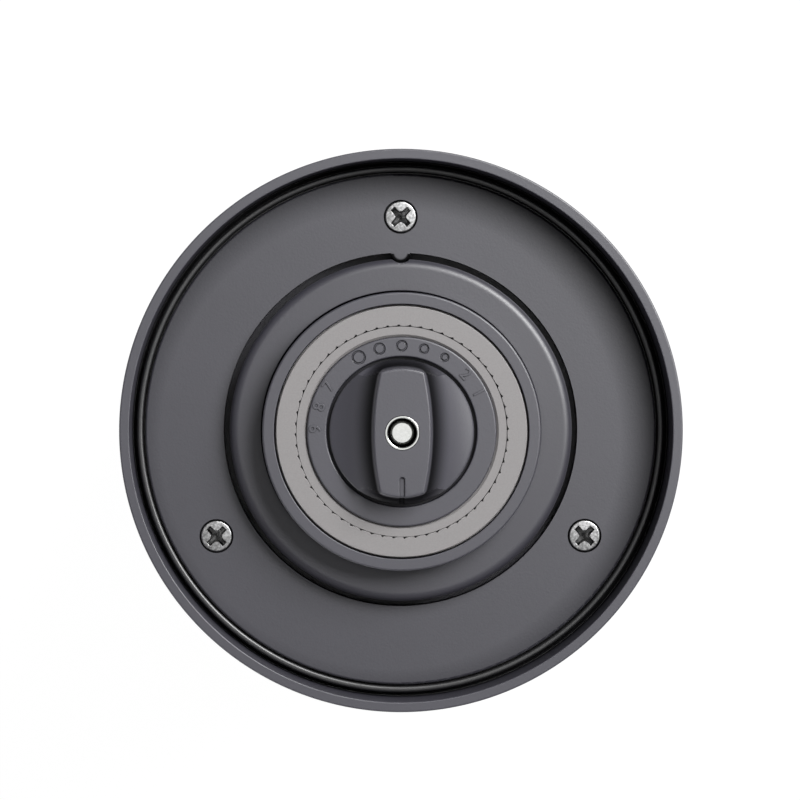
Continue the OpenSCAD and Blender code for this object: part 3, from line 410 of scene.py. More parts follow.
# Bottom plate: a flat moulded ring screwed up against the hopper, with a key tab at its hole.
# Each screw sits down in a close round counterbore, so a dark ring shows round its head.
PLATE_GREY = "3a3942"
# Painted shade on the plate: a shadow of the rim toward its edge and a dark ring round the key.
EDGE_SHADE_CENTRE = (-1.6 * MM, -1.6 * MM, 0)
EDGE_SHADE_START = 37.2 * MM
EDGE_SHADE_END = 46.5 * MM
HOLE_R = 28.45 * MM
KEY_PLACE = (0, 28.6 * MM, 0)
KEY_UNSHADED = 0.95 * MM
KEY_SHADED = 1.2 * MM
KEY_LEAST = 0.05


def painted_edge_shade(material):
    """Adds a painted shadow of the shell's rim that deepens toward the plate's edge, most on one side.

    Its share falls evenly with distance from a point a little off the Z axis. Painted shade also rings the
    key, where the share falls with distance from the key's middle, but only inside the plate's hole.
    """
    tree, skin, place = surface_of(material)
    flat = add(tree, "VectorMath", {0: place, 1: (1, 1, 0)}, operation="MULTIPLY")
    away = add(tree, "VectorMath", {0: flat, 1: EDGE_SHADE_CENTRE}, operation="DISTANCE")
    unshaded = add(tree, "MapRange", {"Value": away}, From_Min=EDGE_SHADE_START, From_Max=EDGE_SHADE_END, To_Min=1.0,
                To_Max=0.0)
    paint_shade(tree, skin, unshaded)
    from_key = add(tree, "VectorMath", {0: flat, 1: KEY_PLACE}, operation="DISTANCE")
    key_shade = add(tree, "MapRange", {"Value": from_key}, From_Min=KEY_UNSHADED, From_Max=KEY_SHADED,
                 To_Min=1.0, To_Max=KEY_LEAST)
    from_axis = add(tree, "VectorMath", {0: flat}, operation="LENGTH")
    on_ring = add(tree, "Math", {0: from_axis, 1: HOLE_R}, operation="GREATER_THAN")
    kept = add(tree, "Math", {0: key_shade, 1: on_ring}, operation="MAXIMUM")
    paint_shade(tree, skin, kept)
    return material


def finish(material, *nodes):
    """Gives solids of the frame their surface finish."""
    for node in nodes:
        coat(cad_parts[node].data, material)


# The plate's colour and gloss carry painted shade toward its edge and round the key.
plate_abs = painted_edge_shade(spark_eroded_abs("spark_eroded_plate_abs", PLATE_GREY, **BODY_FINISH))
finish(plate_abs, "bottom_plate")

# Seal ring: black moulded rubber in the corner between plate and shell.
# A smooth round-topped bead stands up just off the plate's edge, and a thin lip wipes the shell's wall.
seal_low, seal_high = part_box("seal_ring")
BEAD = 1.05 * MM
BEAD_GAP = 0.25 * MM
SEAL_CLEARANCE = 0.05 * MM
SEAL_BASE = 0.9 * MM
LIP_RISE = 0.5 * MM
BLOOM_WIDTH = 1.2 * MM
BLOOM_RELIEF = 0.004 * MM


def moulded_rubber(name, code, rough):
    """Compression-moulded rubber: nearly black, with a soft gloss broken by a faint bloom."""
    return patterned(name, "TexNoise", {"Scale": 1 / BLOOM_WIDTH, "Detail": 4.0}, BLOOM_RELIEF,
                     gloss=(rough - 0.06, rough + 0.08), Base_Color=linear(code), IOR=2.1)


black_rubber = moulded_rubber("moulded_black_rubber", "0c0c0e", 0.43)
seal_in, seal_out = plate_high.x + SEAL_CLEARANCE, seal_high.x
bead_in = plate_high.x + BEAD_GAP
bead_out = bead_in + BEAD
seal_step = seal_low.z + SEAL_BASE
seal = revolve("seal_ring_bead", rounded([
    (seal_in, seal_low.z, FINE_EDGE), (seal_out, seal_low.z, FINE_EDGE),
    (seal_out, seal_step + LIP_RISE, SHARP_EDGE), (bead_out, seal_step - LIP_RISE, FINE_EDGE),
    (bead_out, seal_high.z, BEAD / 2), (bead_in, seal_high.z, BEAD / 2),
    (bead_in, seal_step, SHARP_EDGE), (seal_in, seal_step, SHARP_EDGE)], steps=10))
dress(seal, black_rubber, "mill", "seal_rubber", "seal_ring")

# Plate screws: three bright zinc-plated steel pan heads with a cross recess, cold headed.
# The cross is turned to lie as an X, with rounded inner corners and walls that lean in to the point.
screw_low, screw_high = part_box("plate_screws")
SCREW_ANGLES = (90, 210, 330)
SCREW_TURNS = 144
HEAD_R = 2.5 * MM
SOLID_HEAD_R = 2.45 * MM
SCREW_CIRCLE = screw_high.y - SOLID_HEAD_R
HEAD_H = 1.9 * MM
HEAD_SIDE = 0.6 * HEAD_H
FLAT_SHARE = 0.92
HEAD_EDGE = 0.22 * MM
CROWN = 0.08 * MM
SHANK_R = 1.25 * MM
TIP_SHARE = 0.8
TIP_TAPER = 0.4 * SHANK_R
CROSS_REACH = 1.88 * MM
CROSS_HALF = 0.45 * MM
CROSS_DEPTH = 2.8 * MM
CROSS_BLEND = 0.75 * MM
CROSS_WALL = 0.16 * MM
CROSS_END_SHARE = 0.35
SCUFF_RELIEF = 0.006 * MM


def plated_steel(name, code, rough, streak=0.09):
    """Zinc-plated steel, or another bright metal by its colour: fine scuffs, streak millimetres wide,
    break up its tone and gloss, and painted shade darkens its recesses and corners."""
    return patterned(name, "TexNoise", {"Scale": 1 / (streak * MM), "Detail": 4.0}, SCUFF_RELIEF,
                     stops=shades(code, (0.35, 0.6), (0.65, 1.2)), gloss=(rough - 0.1, rough + 0.12),
                     corner=(1.3, 0.03), Metallic=1.0)


def smooth(value, low, high):
    """Zero below low, one above high, and an S-shaped rise between them."""
    t = np.clip((value - low) / (high - low), 0, 1)
    return t * t * (3 - 2 * t)


def cross_distance(x, y):
    """Distance into a cross of two bars: the smaller bar distance, blended smoothly where the bars meet."""
    u, v = (x + y) / np.sqrt(2), (x - y) / np.sqrt(2)
    bars = [np.maximum(np.abs(a) - CROSS_REACH, np.abs(b) - CROSS_HALF) for a, b in ((u, v), (v, u))]
    mix = np.maximum(CROSS_BLEND - np.abs(bars[0] - bars[1]), 0) / CROSS_BLEND
    return np.minimum(*bars) - mix * mix * CROSS_BLEND / 4


def pan_screw(name, at, top, foot):
    """A screw as one polar sheet: down the recess from the axis, over the head and its rounded edge,
    under the head and down the shank to a closed end. Rows are angles, columns run along that path."""
    angle = np.linspace(0, 2 * np.pi, SCREW_TURNS, endpoint=False)[:, None]
    bend = np.sin(np.linspace(0.15, 1, 8) * np.pi / 2)
    flat = np.linspace(0.03, FLAT_SHARE, 58)
    share = np.concatenate([[0], flat, FLAT_SHARE + (1 - FLAT_SHARE) * bend])[None, :]
    r = share * HEAD_R
    fall = np.clip((share - FLAT_SHARE) / (1 - FLAT_SHARE), 0, 1)
    z = top - CROWN * share ** 2 - HEAD_EDGE * (1 - np.sqrt(1 - fall ** 2))
    floor = CROSS_END_SHARE + (1 - CROSS_END_SHARE) * np.clip(1 - r / CROSS_REACH, 0, 1)
    into = -cross_distance(r * np.cos(angle), r * np.sin(angle))
    head = polar(r, angle, z - smooth(into, 0, CROSS_WALL) * floor * CROSS_DEPTH)
    under = top - HEAD_H
    tail_r = np.array([HEAD_R, HEAD_R, SHANK_R, SHANK_R, TIP_SHARE * SHANK_R, 0])[None, :]
    tail_z = np.array([top - HEAD_SIDE, under, under, foot + TIP_TAPER, foot, foot])[None, :]
    points = np.concatenate([head, polar(tail_r, angle, tail_z)], 1)
    return grid_piece(name, points + np.array([at[0], at[1], 0]))


bright_zinc = plated_steel("bright_zinc_plated_steel", "d4d4d4", 0.34, streak=0.4)
for number, degrees in enumerate(SCREW_ANGLES, 1):
    turn = np.radians(degrees)
    centre = SCREW_CIRCLE * np.array([np.cos(turn), np.sin(turn)])
    screw = pan_screw(f"plate_screw_{number}", centre, screw_high.z, screw_low.z)
    dress(screw, bright_zinc, "mill", "steel", "plate_screws")

# Burr housing: the raised dome, moulded in the same grey ABS and hollow from behind.
# Its top falls a little to a well-rounded edge, a round notch takes the plate's key,
# and a step takes the retainer.
dome_low, dome_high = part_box("burr_housing")
retainer_low, retainer_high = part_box("burr_retainer")
DOME_R = 27.5 * MM
DOME_TOP = dome_high.z - 2.8 * MM
DOME_FILLET = 1.35 * MM
HOLLOW_FILLET = 0.4 * MM
DOME_SLOPE = np.radians(1)
DOME_WALL = 2 * MM
FLANGE_TOP = dome_low.z + 2.6 * MM
BORE_R = retainer_high.x - 0.75 * MM
INLET_R = 18.15 * MM
LIP_TOP = dome_low.z + 2 * MM
STEP_R = retainer_high.x + 0.2 * MM
STEP_Z = DOME_TOP - 1.2 * MM
KEY_TURN = np.pi / 2
NOTCH_R = 1.8 * MM
NOTCH_Y = KEY_PLACE[1]
NOTCH_STEPS = 85
NOTCH_SPAN = 1.05
NOTCH_CLEAR = 1.1
NOTCH_FOOT = FLANGE_TOP + 0.5 * MM
NOTCH_DEEPEST = DOME_R - DOME_WALL + 0.3 * MM

brow_z = DOME_TOP - (DOME_R - STEP_R) * np.tan(DOME_SLOPE)
tube_r, hollow_r, hollow_top = BORE_R + DOME_WALL, DOME_R - DOME_WALL, DOME_TOP - DOME_WALL
outline = rounded([
    (INLET_R, dome_low.z, EDGE), (tube_r, dome_low.z, EDGE), (tube_r, hollow_top, HOLLOW_FILLET),
    (hollow_r, hollow_top, HOLLOW_FILLET), (hollow_r, dome_low.z, EDGE), (dome_high.x, dome_low.z, EDGE),
    (dome_high.x, FLANGE_TOP, EDGE), (DOME_R, FLANGE_TOP, EDGE), (DOME_R, brow_z, DOME_FILLET),
    (STEP_R, DOME_TOP, EDGE), (STEP_R, STEP_Z, FINE_EDGE), (BORE_R, STEP_Z, FINE_EDGE),
    (BORE_R, LIP_TOP, CLOSE_EDGE), (INLET_R, LIP_TOP, CLOSE_EDGE)], steps=9)


def notched(outline):
    """Carries an outline round the Z axis, in finer steps at the key, where a notch cuts it back.

    The notch is a circle about a point on the Y axis, so along each angle its edge lies at that point's
    distance less the half chord there.
    """
    half_turn = NOTCH_R / NOTCH_Y
    coarse = np.linspace(0, 2 * np.pi, TURNS, endpoint=False)
    fine = KEY_TURN + np.linspace(-NOTCH_SPAN, NOTCH_SPAN, NOTCH_STEPS) * half_turn
    clear = coarse[np.abs(coarse - KEY_TURN) > NOTCH_CLEAR * half_turn]
    angle = np.unique(np.concatenate([clear, fine]))[:, None]
    r, z = outline[None, :, 0], outline[None, :, 1]
    aside = NOTCH_Y * np.sin(np.clip(angle - KEY_TURN, -0.5, 0.5))
    edge = NOTCH_Y * np.cos(angle - KEY_TURN) - np.sqrt(np.maximum(NOTCH_R ** 2 - aside ** 2, 0))
    cut = (z > NOTCH_FOOT) * (r > NOTCH_DEEPEST) * (np.abs(aside) < NOTCH_R)
    return polar(np.where(cut, np.minimum(r, edge), r), angle, z)


dome = grid_piece("burr_housing_dome", notched(outline), wrap_columns=True)
# Strong painted shade darkens the dome's top beside the collar and in its corners.
dome_abs = spark_eroded_abs("spark_eroded_dome_abs", PLATE_GREY, **BODY_FINISH, corner=(4, 0.04, 0.55))
dress(dome, dome_abs, "mill", "grey_plastic", "burr_housing")

# Burr retainer: a collar moulded in the same grey ABS and screwed into the dome.
# Its skirt reaches down the bore and clamps the outer burr.
burr_low, burr_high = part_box("outer_burr")
BURR_R = 20.2 * MM
RETAINER_CLEARANCE = 0.05 * MM
SKIRT_DROP = 0.8 * MM
COLLAR_FILLET = 0.3 * MM
COLLAR_FILLET_IN = 0.12 * MM

retainer_in = BURR_R + RETAINER_CLEARANCE
skirt_r = retainer_high.x - SKIRT_DROP
collar = revolve("burr_retainer_collar", rounded([
    (retainer_in, retainer_low.z, CLOSE_EDGE), (skirt_r, retainer_low.z, CLOSE_EDGE),
    (skirt_r, STEP_Z, FINE_EDGE), (retainer_high.x, STEP_Z, CLOSE_EDGE),
    (retainer_high.x, retainer_high.z, COLLAR_FILLET), (retainer_in, retainer_high.z, COLLAR_FILLET_IN)]))
dress(collar, grey_abs, "mill", "grey_plastic", "burr_retainer")

# Outer burr: a ring of pressed and fired grey ceramic with saw teeth round its bore.
# The teeth are slightly worn at their tips, and the face is ground flat.
TEETH = 60
TOOTH_TIP_R = 16.75 * MM
TOOTH_DEPTH = 0.3 * MM
TOOTH_POWER = 4
STEEP_SHARE = 0.22
TOOTH_STEPS = 14
BORE_BAND = (0.1 * MM, 0.3 * MM)
INLET_RISE = 5 * MM
INLET_FLARE = 1.4 * MM
RELIEF_W = 0.26 * MM
RELIEF_H = 1.6 * MM
SPECKLE_WIDTH = 0.25 * MM
SPECKLE_RELIEF = 0.008 * MM


def fired_ceramic(name, code):
    """Unglazed alumina, pressed and fired: pale, dry and even, with a fine speckle in tone and height."""
    return patterned(name, "TexNoise", {"Scale": 1 / SPECKLE_WIDTH, "Detail": 4.0}, SPECKLE_RELIEF,
                     stops=shades(code, (0.25, 0.93), (0.75, 1.06)), Roughness=0.62, IOR=1.6)


def saw_toothed(outline):
    """Carries an outline round the Z axis. At the bore its radius grows by a worn saw wave, and low down by
    the inlet's flare where that is more.

    The wave rises steeply and falls slowly once a tooth, and its fourth power leaves narrow gaps.
    """
    angle = np.linspace(0, 2 * np.pi, TEETH * TOOTH_STEPS, endpoint=False)[:, None]
    phase = angle * TEETH / (2 * np.pi) % 1
    saw = np.where(phase < STEEP_SHARE, phase / STEEP_SHARE, (1 - phase) / (1 - STEEP_SHARE))
    r, z = outline[None, :, 0], outline[None, :, 1]
    flare = smooth(burr_low.z + INLET_RISE - z, 0, INLET_RISE) * INLET_FLARE
    at_bore = 1 - smooth(r - TOOTH_TIP_R, *BORE_BAND)
    return polar(r + at_bore * np.maximum(saw ** TOOTH_POWER * TOOTH_DEPTH, flare), angle, z)


alumina = fired_ceramic("fired_grey_alumina", "979494")
relief_r, relief_z = BURR_R - RELIEF_W, burr_high.z - RELIEF_H
outline = rounded([
    (TOOTH_TIP_R, burr_low.z, EDGE), (burr_high.x, burr_low.z, EDGE), (burr_high.x, retainer_low.z, EDGE),
    (BURR_R, retainer_low.z, FINE_EDGE), (BURR_R, relief_z, SHARP_EDGE), (relief_r, relief_z, SHARP_EDGE),
    (relief_r, burr_high.z, CLOSE_EDGE), (TOOTH_TIP_R, burr_high.z, FINE_EDGE)])
outer_burr = grid_piece("outer_burr_ring", saw_toothed(outline), wrap_columns=True)
dress(outer_burr, alumina, "mill", "ceramic", "outer_burr")

# Hopper liner and shaft bearing: a dark moulded chamber, a spider across its neck and a bronze bush.
# The liner's three bosses take the plate screws, and the bush is pressed into the spider's hub.
LINER_GREY = "4d4e53"
BLACK_ABS = "1d1d20"
PORE_WIDTH = 0.2 * MM
PORE_DEPTH = 0.02 * MM


def sintered_bronze(name, code):
    """Oil-soaked sintered bronze, or steel by its colour: dulled by pores a fifth of a millimetre wide."""
    return patterned(name, "TexVoronoi", {"Scale": 1 / PORE_WIDTH}, PORE_DEPTH, level="Distance",
                     stops=shades(code, (0.0, 0.6), (0.6, 1.0)), Metallic=1.0, Roughness=0.45)


black_abs = spark_eroded_abs("spark_eroded_black_abs", BLACK_ABS)
bush_bronze = sintered_bronze("sintered_bronze", "9c7a45")
liner_abs = spark_eroded_abs("polished_liner_abs", LINER_GREY, grain=0.6, relief=0.006, rough=0.38)
finish(liner_abs, "hopper_liner")
finish(black_abs, "bearing_spider")
finish(bush_bronze, "shaft_bush")

# Drive shaft: a six-sided steel bar with a turned journal and a threaded tip, held by a spring clip.
# The tip's flat end shows in the middle of the knob, faced on a lathe and bright.
WAVE_LENGTH = 0.314
RING_PITCH = 0.7536 * MM
RING_RELIEF = 0.002 * MM
RUB_WIDTH = 0.4 * MM


def turned_steel(name, code, rough):
    """Lathe-turned steel: bright metal with fine rings round the Z axis.

    The tool's feed is too fine to show, so the rings are drawn three quarters of a millimetre apart.
    The wave texture's lines lie WAVE_LENGTH apart at a scale of 1.
    """
    material, tree, place = start_material(name)
    rings = add(tree, "TexWave", {"Vector": place}, wave_type="RINGS", rings_direction="Z",
                Scale=WAVE_LENGTH / RING_PITCH, Distortion=1.5, Detail=2.0)
    rub = add(tree, "TexNoise", {"Vector": place}, Scale=1 / RUB_WIDTH, Detail=3.0)
    gloss = add(tree, "MapRange", {"Value": rub}, To_Min=rough - 0.08, To_Max=rough + 0.1)
    bump = add(tree, "Bump", {"Height": rings.outputs["Fac"]}, Distance=RING_RELIEF)
    metal = add(tree, "BsdfPrincipled", {"Roughness": gloss, "Normal": bump}, Base_Color=linear(code),
                Metallic=1.0)
    # Painted shade darkens its corners.
    paint_shade(tree, metal, painted_corner_shade(tree, reach=0.9, least=0.02))
    add(tree, "OutputMaterial", {"Surface": metal})
    return material


shaft_steel = turned_steel("lathe_turned_steel", "ecedea", 0.17)
spring_steel = plated_steel("bright_spring_steel", "b9babc", 0.3)
finish(shaft_steel, "drive_shaft")
finish(spring_steel, "shaft_clip")

# Inner burr and its spring: a grooved cone of the same grey ceramic, keyed on the shaft's flats.
# Its ring-shaped face shows round the dial, and a coil spring in its pocket pushes it up to the knob.
finish(alumina, "inner_burr")
finish(spring_steel, "burr_spring")

# Dial plate: a grey moulded disc let into the inner burr, with a round recess that the knob turns in.
# Five moulded rings grow from fine to coarse at the top, and raised numbers stand to either side.
dial_low, dial_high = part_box("dial_plate")
knob_low, knob_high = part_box("adjust_knob")
DIAL_R = dial_high.x
DIAL_TOP = dial_high.z - 1.2 * MM
KNOB_R = knob_high.x
RECESS_R = KNOB_R + 0.45 * MM
RECESS_Z = knob_low.z - 0.05 * MM
DIAL_BORE = 3.5 * MM
DIAL_EDGE = 0.25 * MM
DIAL_TURNS = 180
FACE_COLUMNS = 62
MARK_ROWS = 330
MARK_MARGIN = 6
MARK_R = RECESS_R + 0.55 * (DIAL_R - RECESS_R)
MARK_LINE = 0.28 * MM
MARK_FLOOR = 0.32 * MARK_LINE
MARK_FOOT = 0.62 * MARK_LINE
MARK_DEPTH = 0.25 * MM
MARKS = ((60, 0.7), (75, 0.8), (90, 0.9), (105, 0.95), (120, 1.1))
NUMBERS = ((178, "9"), (163, "8"), (148, "7"), (42, "2"), (27, "1"))
NUMBER_HEIGHT = 1.9 * MM
NUMBER_RISE = 0.12 * MM
NUMBER_BEVEL = 0.03 * MM
FIGURE_SHARE = 0.7


def dial_points():
    """The dial as an outline carried round the Z axis, in finer steps at the marks.

    The outline runs from the bore over the recess, a rounded lip, the face and a rounded brim. Each mark
    sinks the face where the distance from its centre is within about half a line's width of its radius.
    """
    quarter = np.linspace(0, np.pi / 2, 6)
    run, drop = DIAL_EDGE * (1 - np.sin(quarter)), DIAL_EDGE * (1 - np.cos(quarter))
    face_r = np.linspace(RECESS_R + DIAL_EDGE, DIAL_R - DIAL_EDGE, FACE_COLUMNS)
    face_z = np.full(FACE_COLUMNS, DIAL_TOP)
    r = np.concatenate([[DIAL_BORE, DIAL_BORE, RECESS_R], (RECESS_R + run[::-1])[:-1], face_r,
                        (DIAL_R - run)[1:], [DIAL_R]])[None, :]
    z = np.concatenate([[dial_low.z, RECESS_Z, RECESS_Z], (DIAL_TOP - drop[::-1])[:-1], face_z,
                        (DIAL_TOP - drop)[1:], [dial_low.z]])[None, :]
    coarse = np.linspace(0, 2 * np.pi, DIAL_TURNS, endpoint=False)
    first, last = np.radians([MARKS[0][0] - MARK_MARGIN, MARKS[-1][0] + MARK_MARGIN])
    fine = np.linspace(first, last, MARK_ROWS)
    angle = np.concatenate([coarse[coarse < first - 0.01], fine, coarse[coarse > last + 0.01]])[:, None]
    x, y = r * np.cos(angle), r * np.sin(angle)
    sink = np.zeros_like(x)
    for degrees, size in MARKS:
        turn = np.radians(degrees)
        away = np.hypot(x - MARK_R * np.cos(turn), y - MARK_R * np.sin(turn))
        off_line = np.abs(away - (size * MM - MARK_LINE / 2))
        sink = np.maximum(sink, 1 - smooth(off_line, MARK_FLOOR, MARK_FOOT))
    on_face = (r > RECESS_R + DIAL_EDGE / 2) * (z > DIAL_TOP - DIAL_EDGE / 2)
    return spread(x, y, z - MARK_DEPTH * sink * on_face)


dial = grid_piece("dial_plate_face", dial_points(), wrap_columns=True)
dress(dial, grey_abs, "carriage", "grey_plastic", "dial_plate")

for degrees, digit in NUMBERS:
    letter = bpy.data.curves.new("number_" + digit, "FONT")
    letter.body = digit
    letter.size = NUMBER_HEIGHT / FIGURE_SHARE
    letter.align_x = "CENTER"
    letter.align_y = "CENTER"
    letter.extrude = NUMBER_RISE
    letter.bevel_depth = NUMBER_BEVEL
    letter.bevel_resolution = 1
    stand_in = bpy.data.objects.new("number_" + digit, letter)
    scene.collection.objects.link(stand_in)
    bpy.context.view_layer.update()
    mesh = bpy.data.meshes.new_from_object(stand_in.evaluated_get(bpy.context.evaluated_depsgraph_get()))
    bpy.data.objects.remove(stand_in)
    turn = np.radians(degrees)
    mesh.transform(Matrix.Translation((MARK_R * np.cos(turn), MARK_R * np.sin(turn), DIAL_TOP))
                   @ Matrix.Rotation(turn - np.pi / 2, 4, "Z"))
    numeral = bpy.data.objects.new(f"dial_number_{digit}", mesh)
    scene.collection.objects.link(numeral)
    dress(numeral, grey_abs, "carriage", "grey_plastic")

# Adjusting knob: a moulded disc with a waisted grip bar across it, in the same grey ABS.
# Each side of the bar is scooped out in a wide cove for a finger, and a pointer slot is cut in one end.
BAR_HALF = 4.55 * MM
BAR_END_HALF = 3.3 * MM
BAR_INSET = 1.3 * MM
BAR_R = KNOB_R - BAR_INSET
BAR_CORNER = 0.5 * MM
BAR_BEVEL = 0.3 * MM
KNOB_RISE = 5.8 * MM
WALL_DROP = 0.2 * MM
WALL_LEAN = np.radians(35)
WALL_RUN = WALL_DROP * np.tan(WALL_LEAN)
RAMP_SLOPE = np.radians(19)
COVE_END = 0.4 * MM
COVE_R = (KNOB_RISE - BAR_BEVEL - WALL_DROP - COVE_END) / (np.cos(RAMP_SLOPE) - np.sin(WALL_LEAN))
END_ZONE = np.radians([22, 60])
RIM_RISE = 0.2 * MM
RIM_BEVEL = 0.08 * MM
POINTER_HALF = 0.4 * MM
POINTER_LEN = 3.2 * MM
POINTER_DEPTH = 0.35 * MM
POINTER_WALL = 0.04 * MM
SOCKET_R = 2.75 * MM
SOCKET_SIDE = np.radians(18)
SOCKET_PINCH = 0.2
INSERT_R = 4.25 * MM
INSERT_H = 4 * MM
SIDE_STEPS = 64
FAN_STEPS = 12
END_STEPS = 40
BEVEL_STEPS = 5
STEEP_STEPS = 4
STEEP_RUN = 0.3 * MM
OUT_STEPS = 40
# Painted shade round the foot of the bar: its run, its darkest share and where it ends.
COVE_SHADE_RUN = 3.4 * MM
COVE_SHADE_FOOT = 0.08
COVE_SHADE_TOP_END = 0.02
COVE_SHADE_DARKEST = 0.12
WHITE = (1, 1, 1, 1)

knob_top = DIAL_TOP + KNOB_RISE
rim_z = DIAL_TOP + RIM_RISE
bar_sag = BAR_HALF - BAR_END_HALF
side_r = (BAR_R ** 2 + bar_sag ** 2) / (2 * bar_sag)
side_shift = side_r - BAR_HALF
core_r, core_side_r = BAR_R - BAR_CORNER, side_r - BAR_CORNER
corner_x = (core_side_r ** 2 - side_shift ** 2 - core_r ** 2) / (2 * side_shift)
corner_y = np.sqrt(core_r ** 2 - corner_x ** 2)
side_turn = np.arctan2(corner_y, corner_x + side_shift)
end_turn = np.arctan2(corner_y, corner_x)


def half_bar(slot):
    """Half of the bar's outline, anticlockwise from the right side through one end: anchors, the turns
    of its normals, turns round the hole and a weight that is 0 on the side and 1 on the end.

    The side is an arc about a far centre, the corner a fan about one point and the end an arc about the axis.
    """
    side = np.linspace(-side_turn, side_turn, SIDE_STEPS, endpoint=False)
    fan = np.linspace(0, 1, FAN_STEPS, endpoint=False)
    far_fan = fan[::-1] + 1 / FAN_STEPS
    edge = np.cos(end_turn) * BAR_R * np.linspace(1, -1, END_STEPS)
    if slot:
        walls = POINTER_HALF * np.array([1.1, 1.0, 0.9, 0.8])
        edge = np.sort(np.concatenate([edge[np.abs(edge) > 1.2 * POINTER_HALF], walls, [0], -walls]))[::-1]
    end = np.arccos(edge[:-1] / BAR_R)
    anchor = np.concatenate([
        np.stack([core_side_r * np.cos(side) - side_shift, core_side_r * np.sin(side)], -1),
        np.tile([corner_x, corner_y], (FAN_STEPS, 1)), core_r * np.stack([np.cos(end), np.sin(end)], -1),
        np.tile([-corner_x, corner_y], (FAN_STEPS, 1))])
    turn = np.concatenate([side, side_turn + (end_turn - side_turn) * fan, end,
                           np.pi - side_turn - (end_turn - side_turn) * far_fan])
    hole_x = edge * (1 - SOCKET_PINCH * (edge / edge[0]) ** 2)
    hole_end = np.arccos(hole_x[:-1] / SOCKET_R)
    low, high = SOCKET_SIDE, hole_end[0]
    hole = np.concatenate([np.linspace(-low, low, SIDE_STEPS, endpoint=False), low + (high - low) * fan,
                           hole_end, np.pi - low - (high - low) * far_fan])
    weight = np.concatenate([
        np.zeros(SIDE_STEPS), smooth(fan, 0, 1), np.ones(len(end)), smooth(far_fan, 0, 1)])
    return anchor, turn, hole, weight


def side_height(t):
    """Height beside the bar at distance t from it: a leaning edge, a round cove, then a straight ramp."""
    foot = knob_top - BAR_BEVEL - WALL_DROP
    middle_t, middle_z = WALL_RUN + COVE_R * np.cos(WALL_LEAN), foot + COVE_R * np.sin(WALL_LEAN)
    ramp_t = middle_t - COVE_R * np.sin(RAMP_SLOPE)
    wall = knob_top - BAR_BEVEL - WALL_DROP * t / WALL_RUN
    cove = middle_z - np.sqrt(np.maximum(COVE_R ** 2 - (middle_t - t) ** 2, 0))
    ramp = middle_z - COVE_R * np.cos(RAMP_SLOPE) - (t - ramp_t) * np.tan(RAMP_SLOPE)
    return np.where(t < WALL_RUN, wall, np.where(t < ramp_t, cove, ramp))


def end_height(t):
    """Height beyond the bar's end at distance t from it: a steep wall that spreads to the disc's edge."""
    return np.interp(t, [0, 0.3 * MM, 0.8 * MM, BAR_INSET],
                     [knob_top - BAR_BEVEL, rim_z + 2 * MM, rim_z + 0.7 * MM, rim_z])


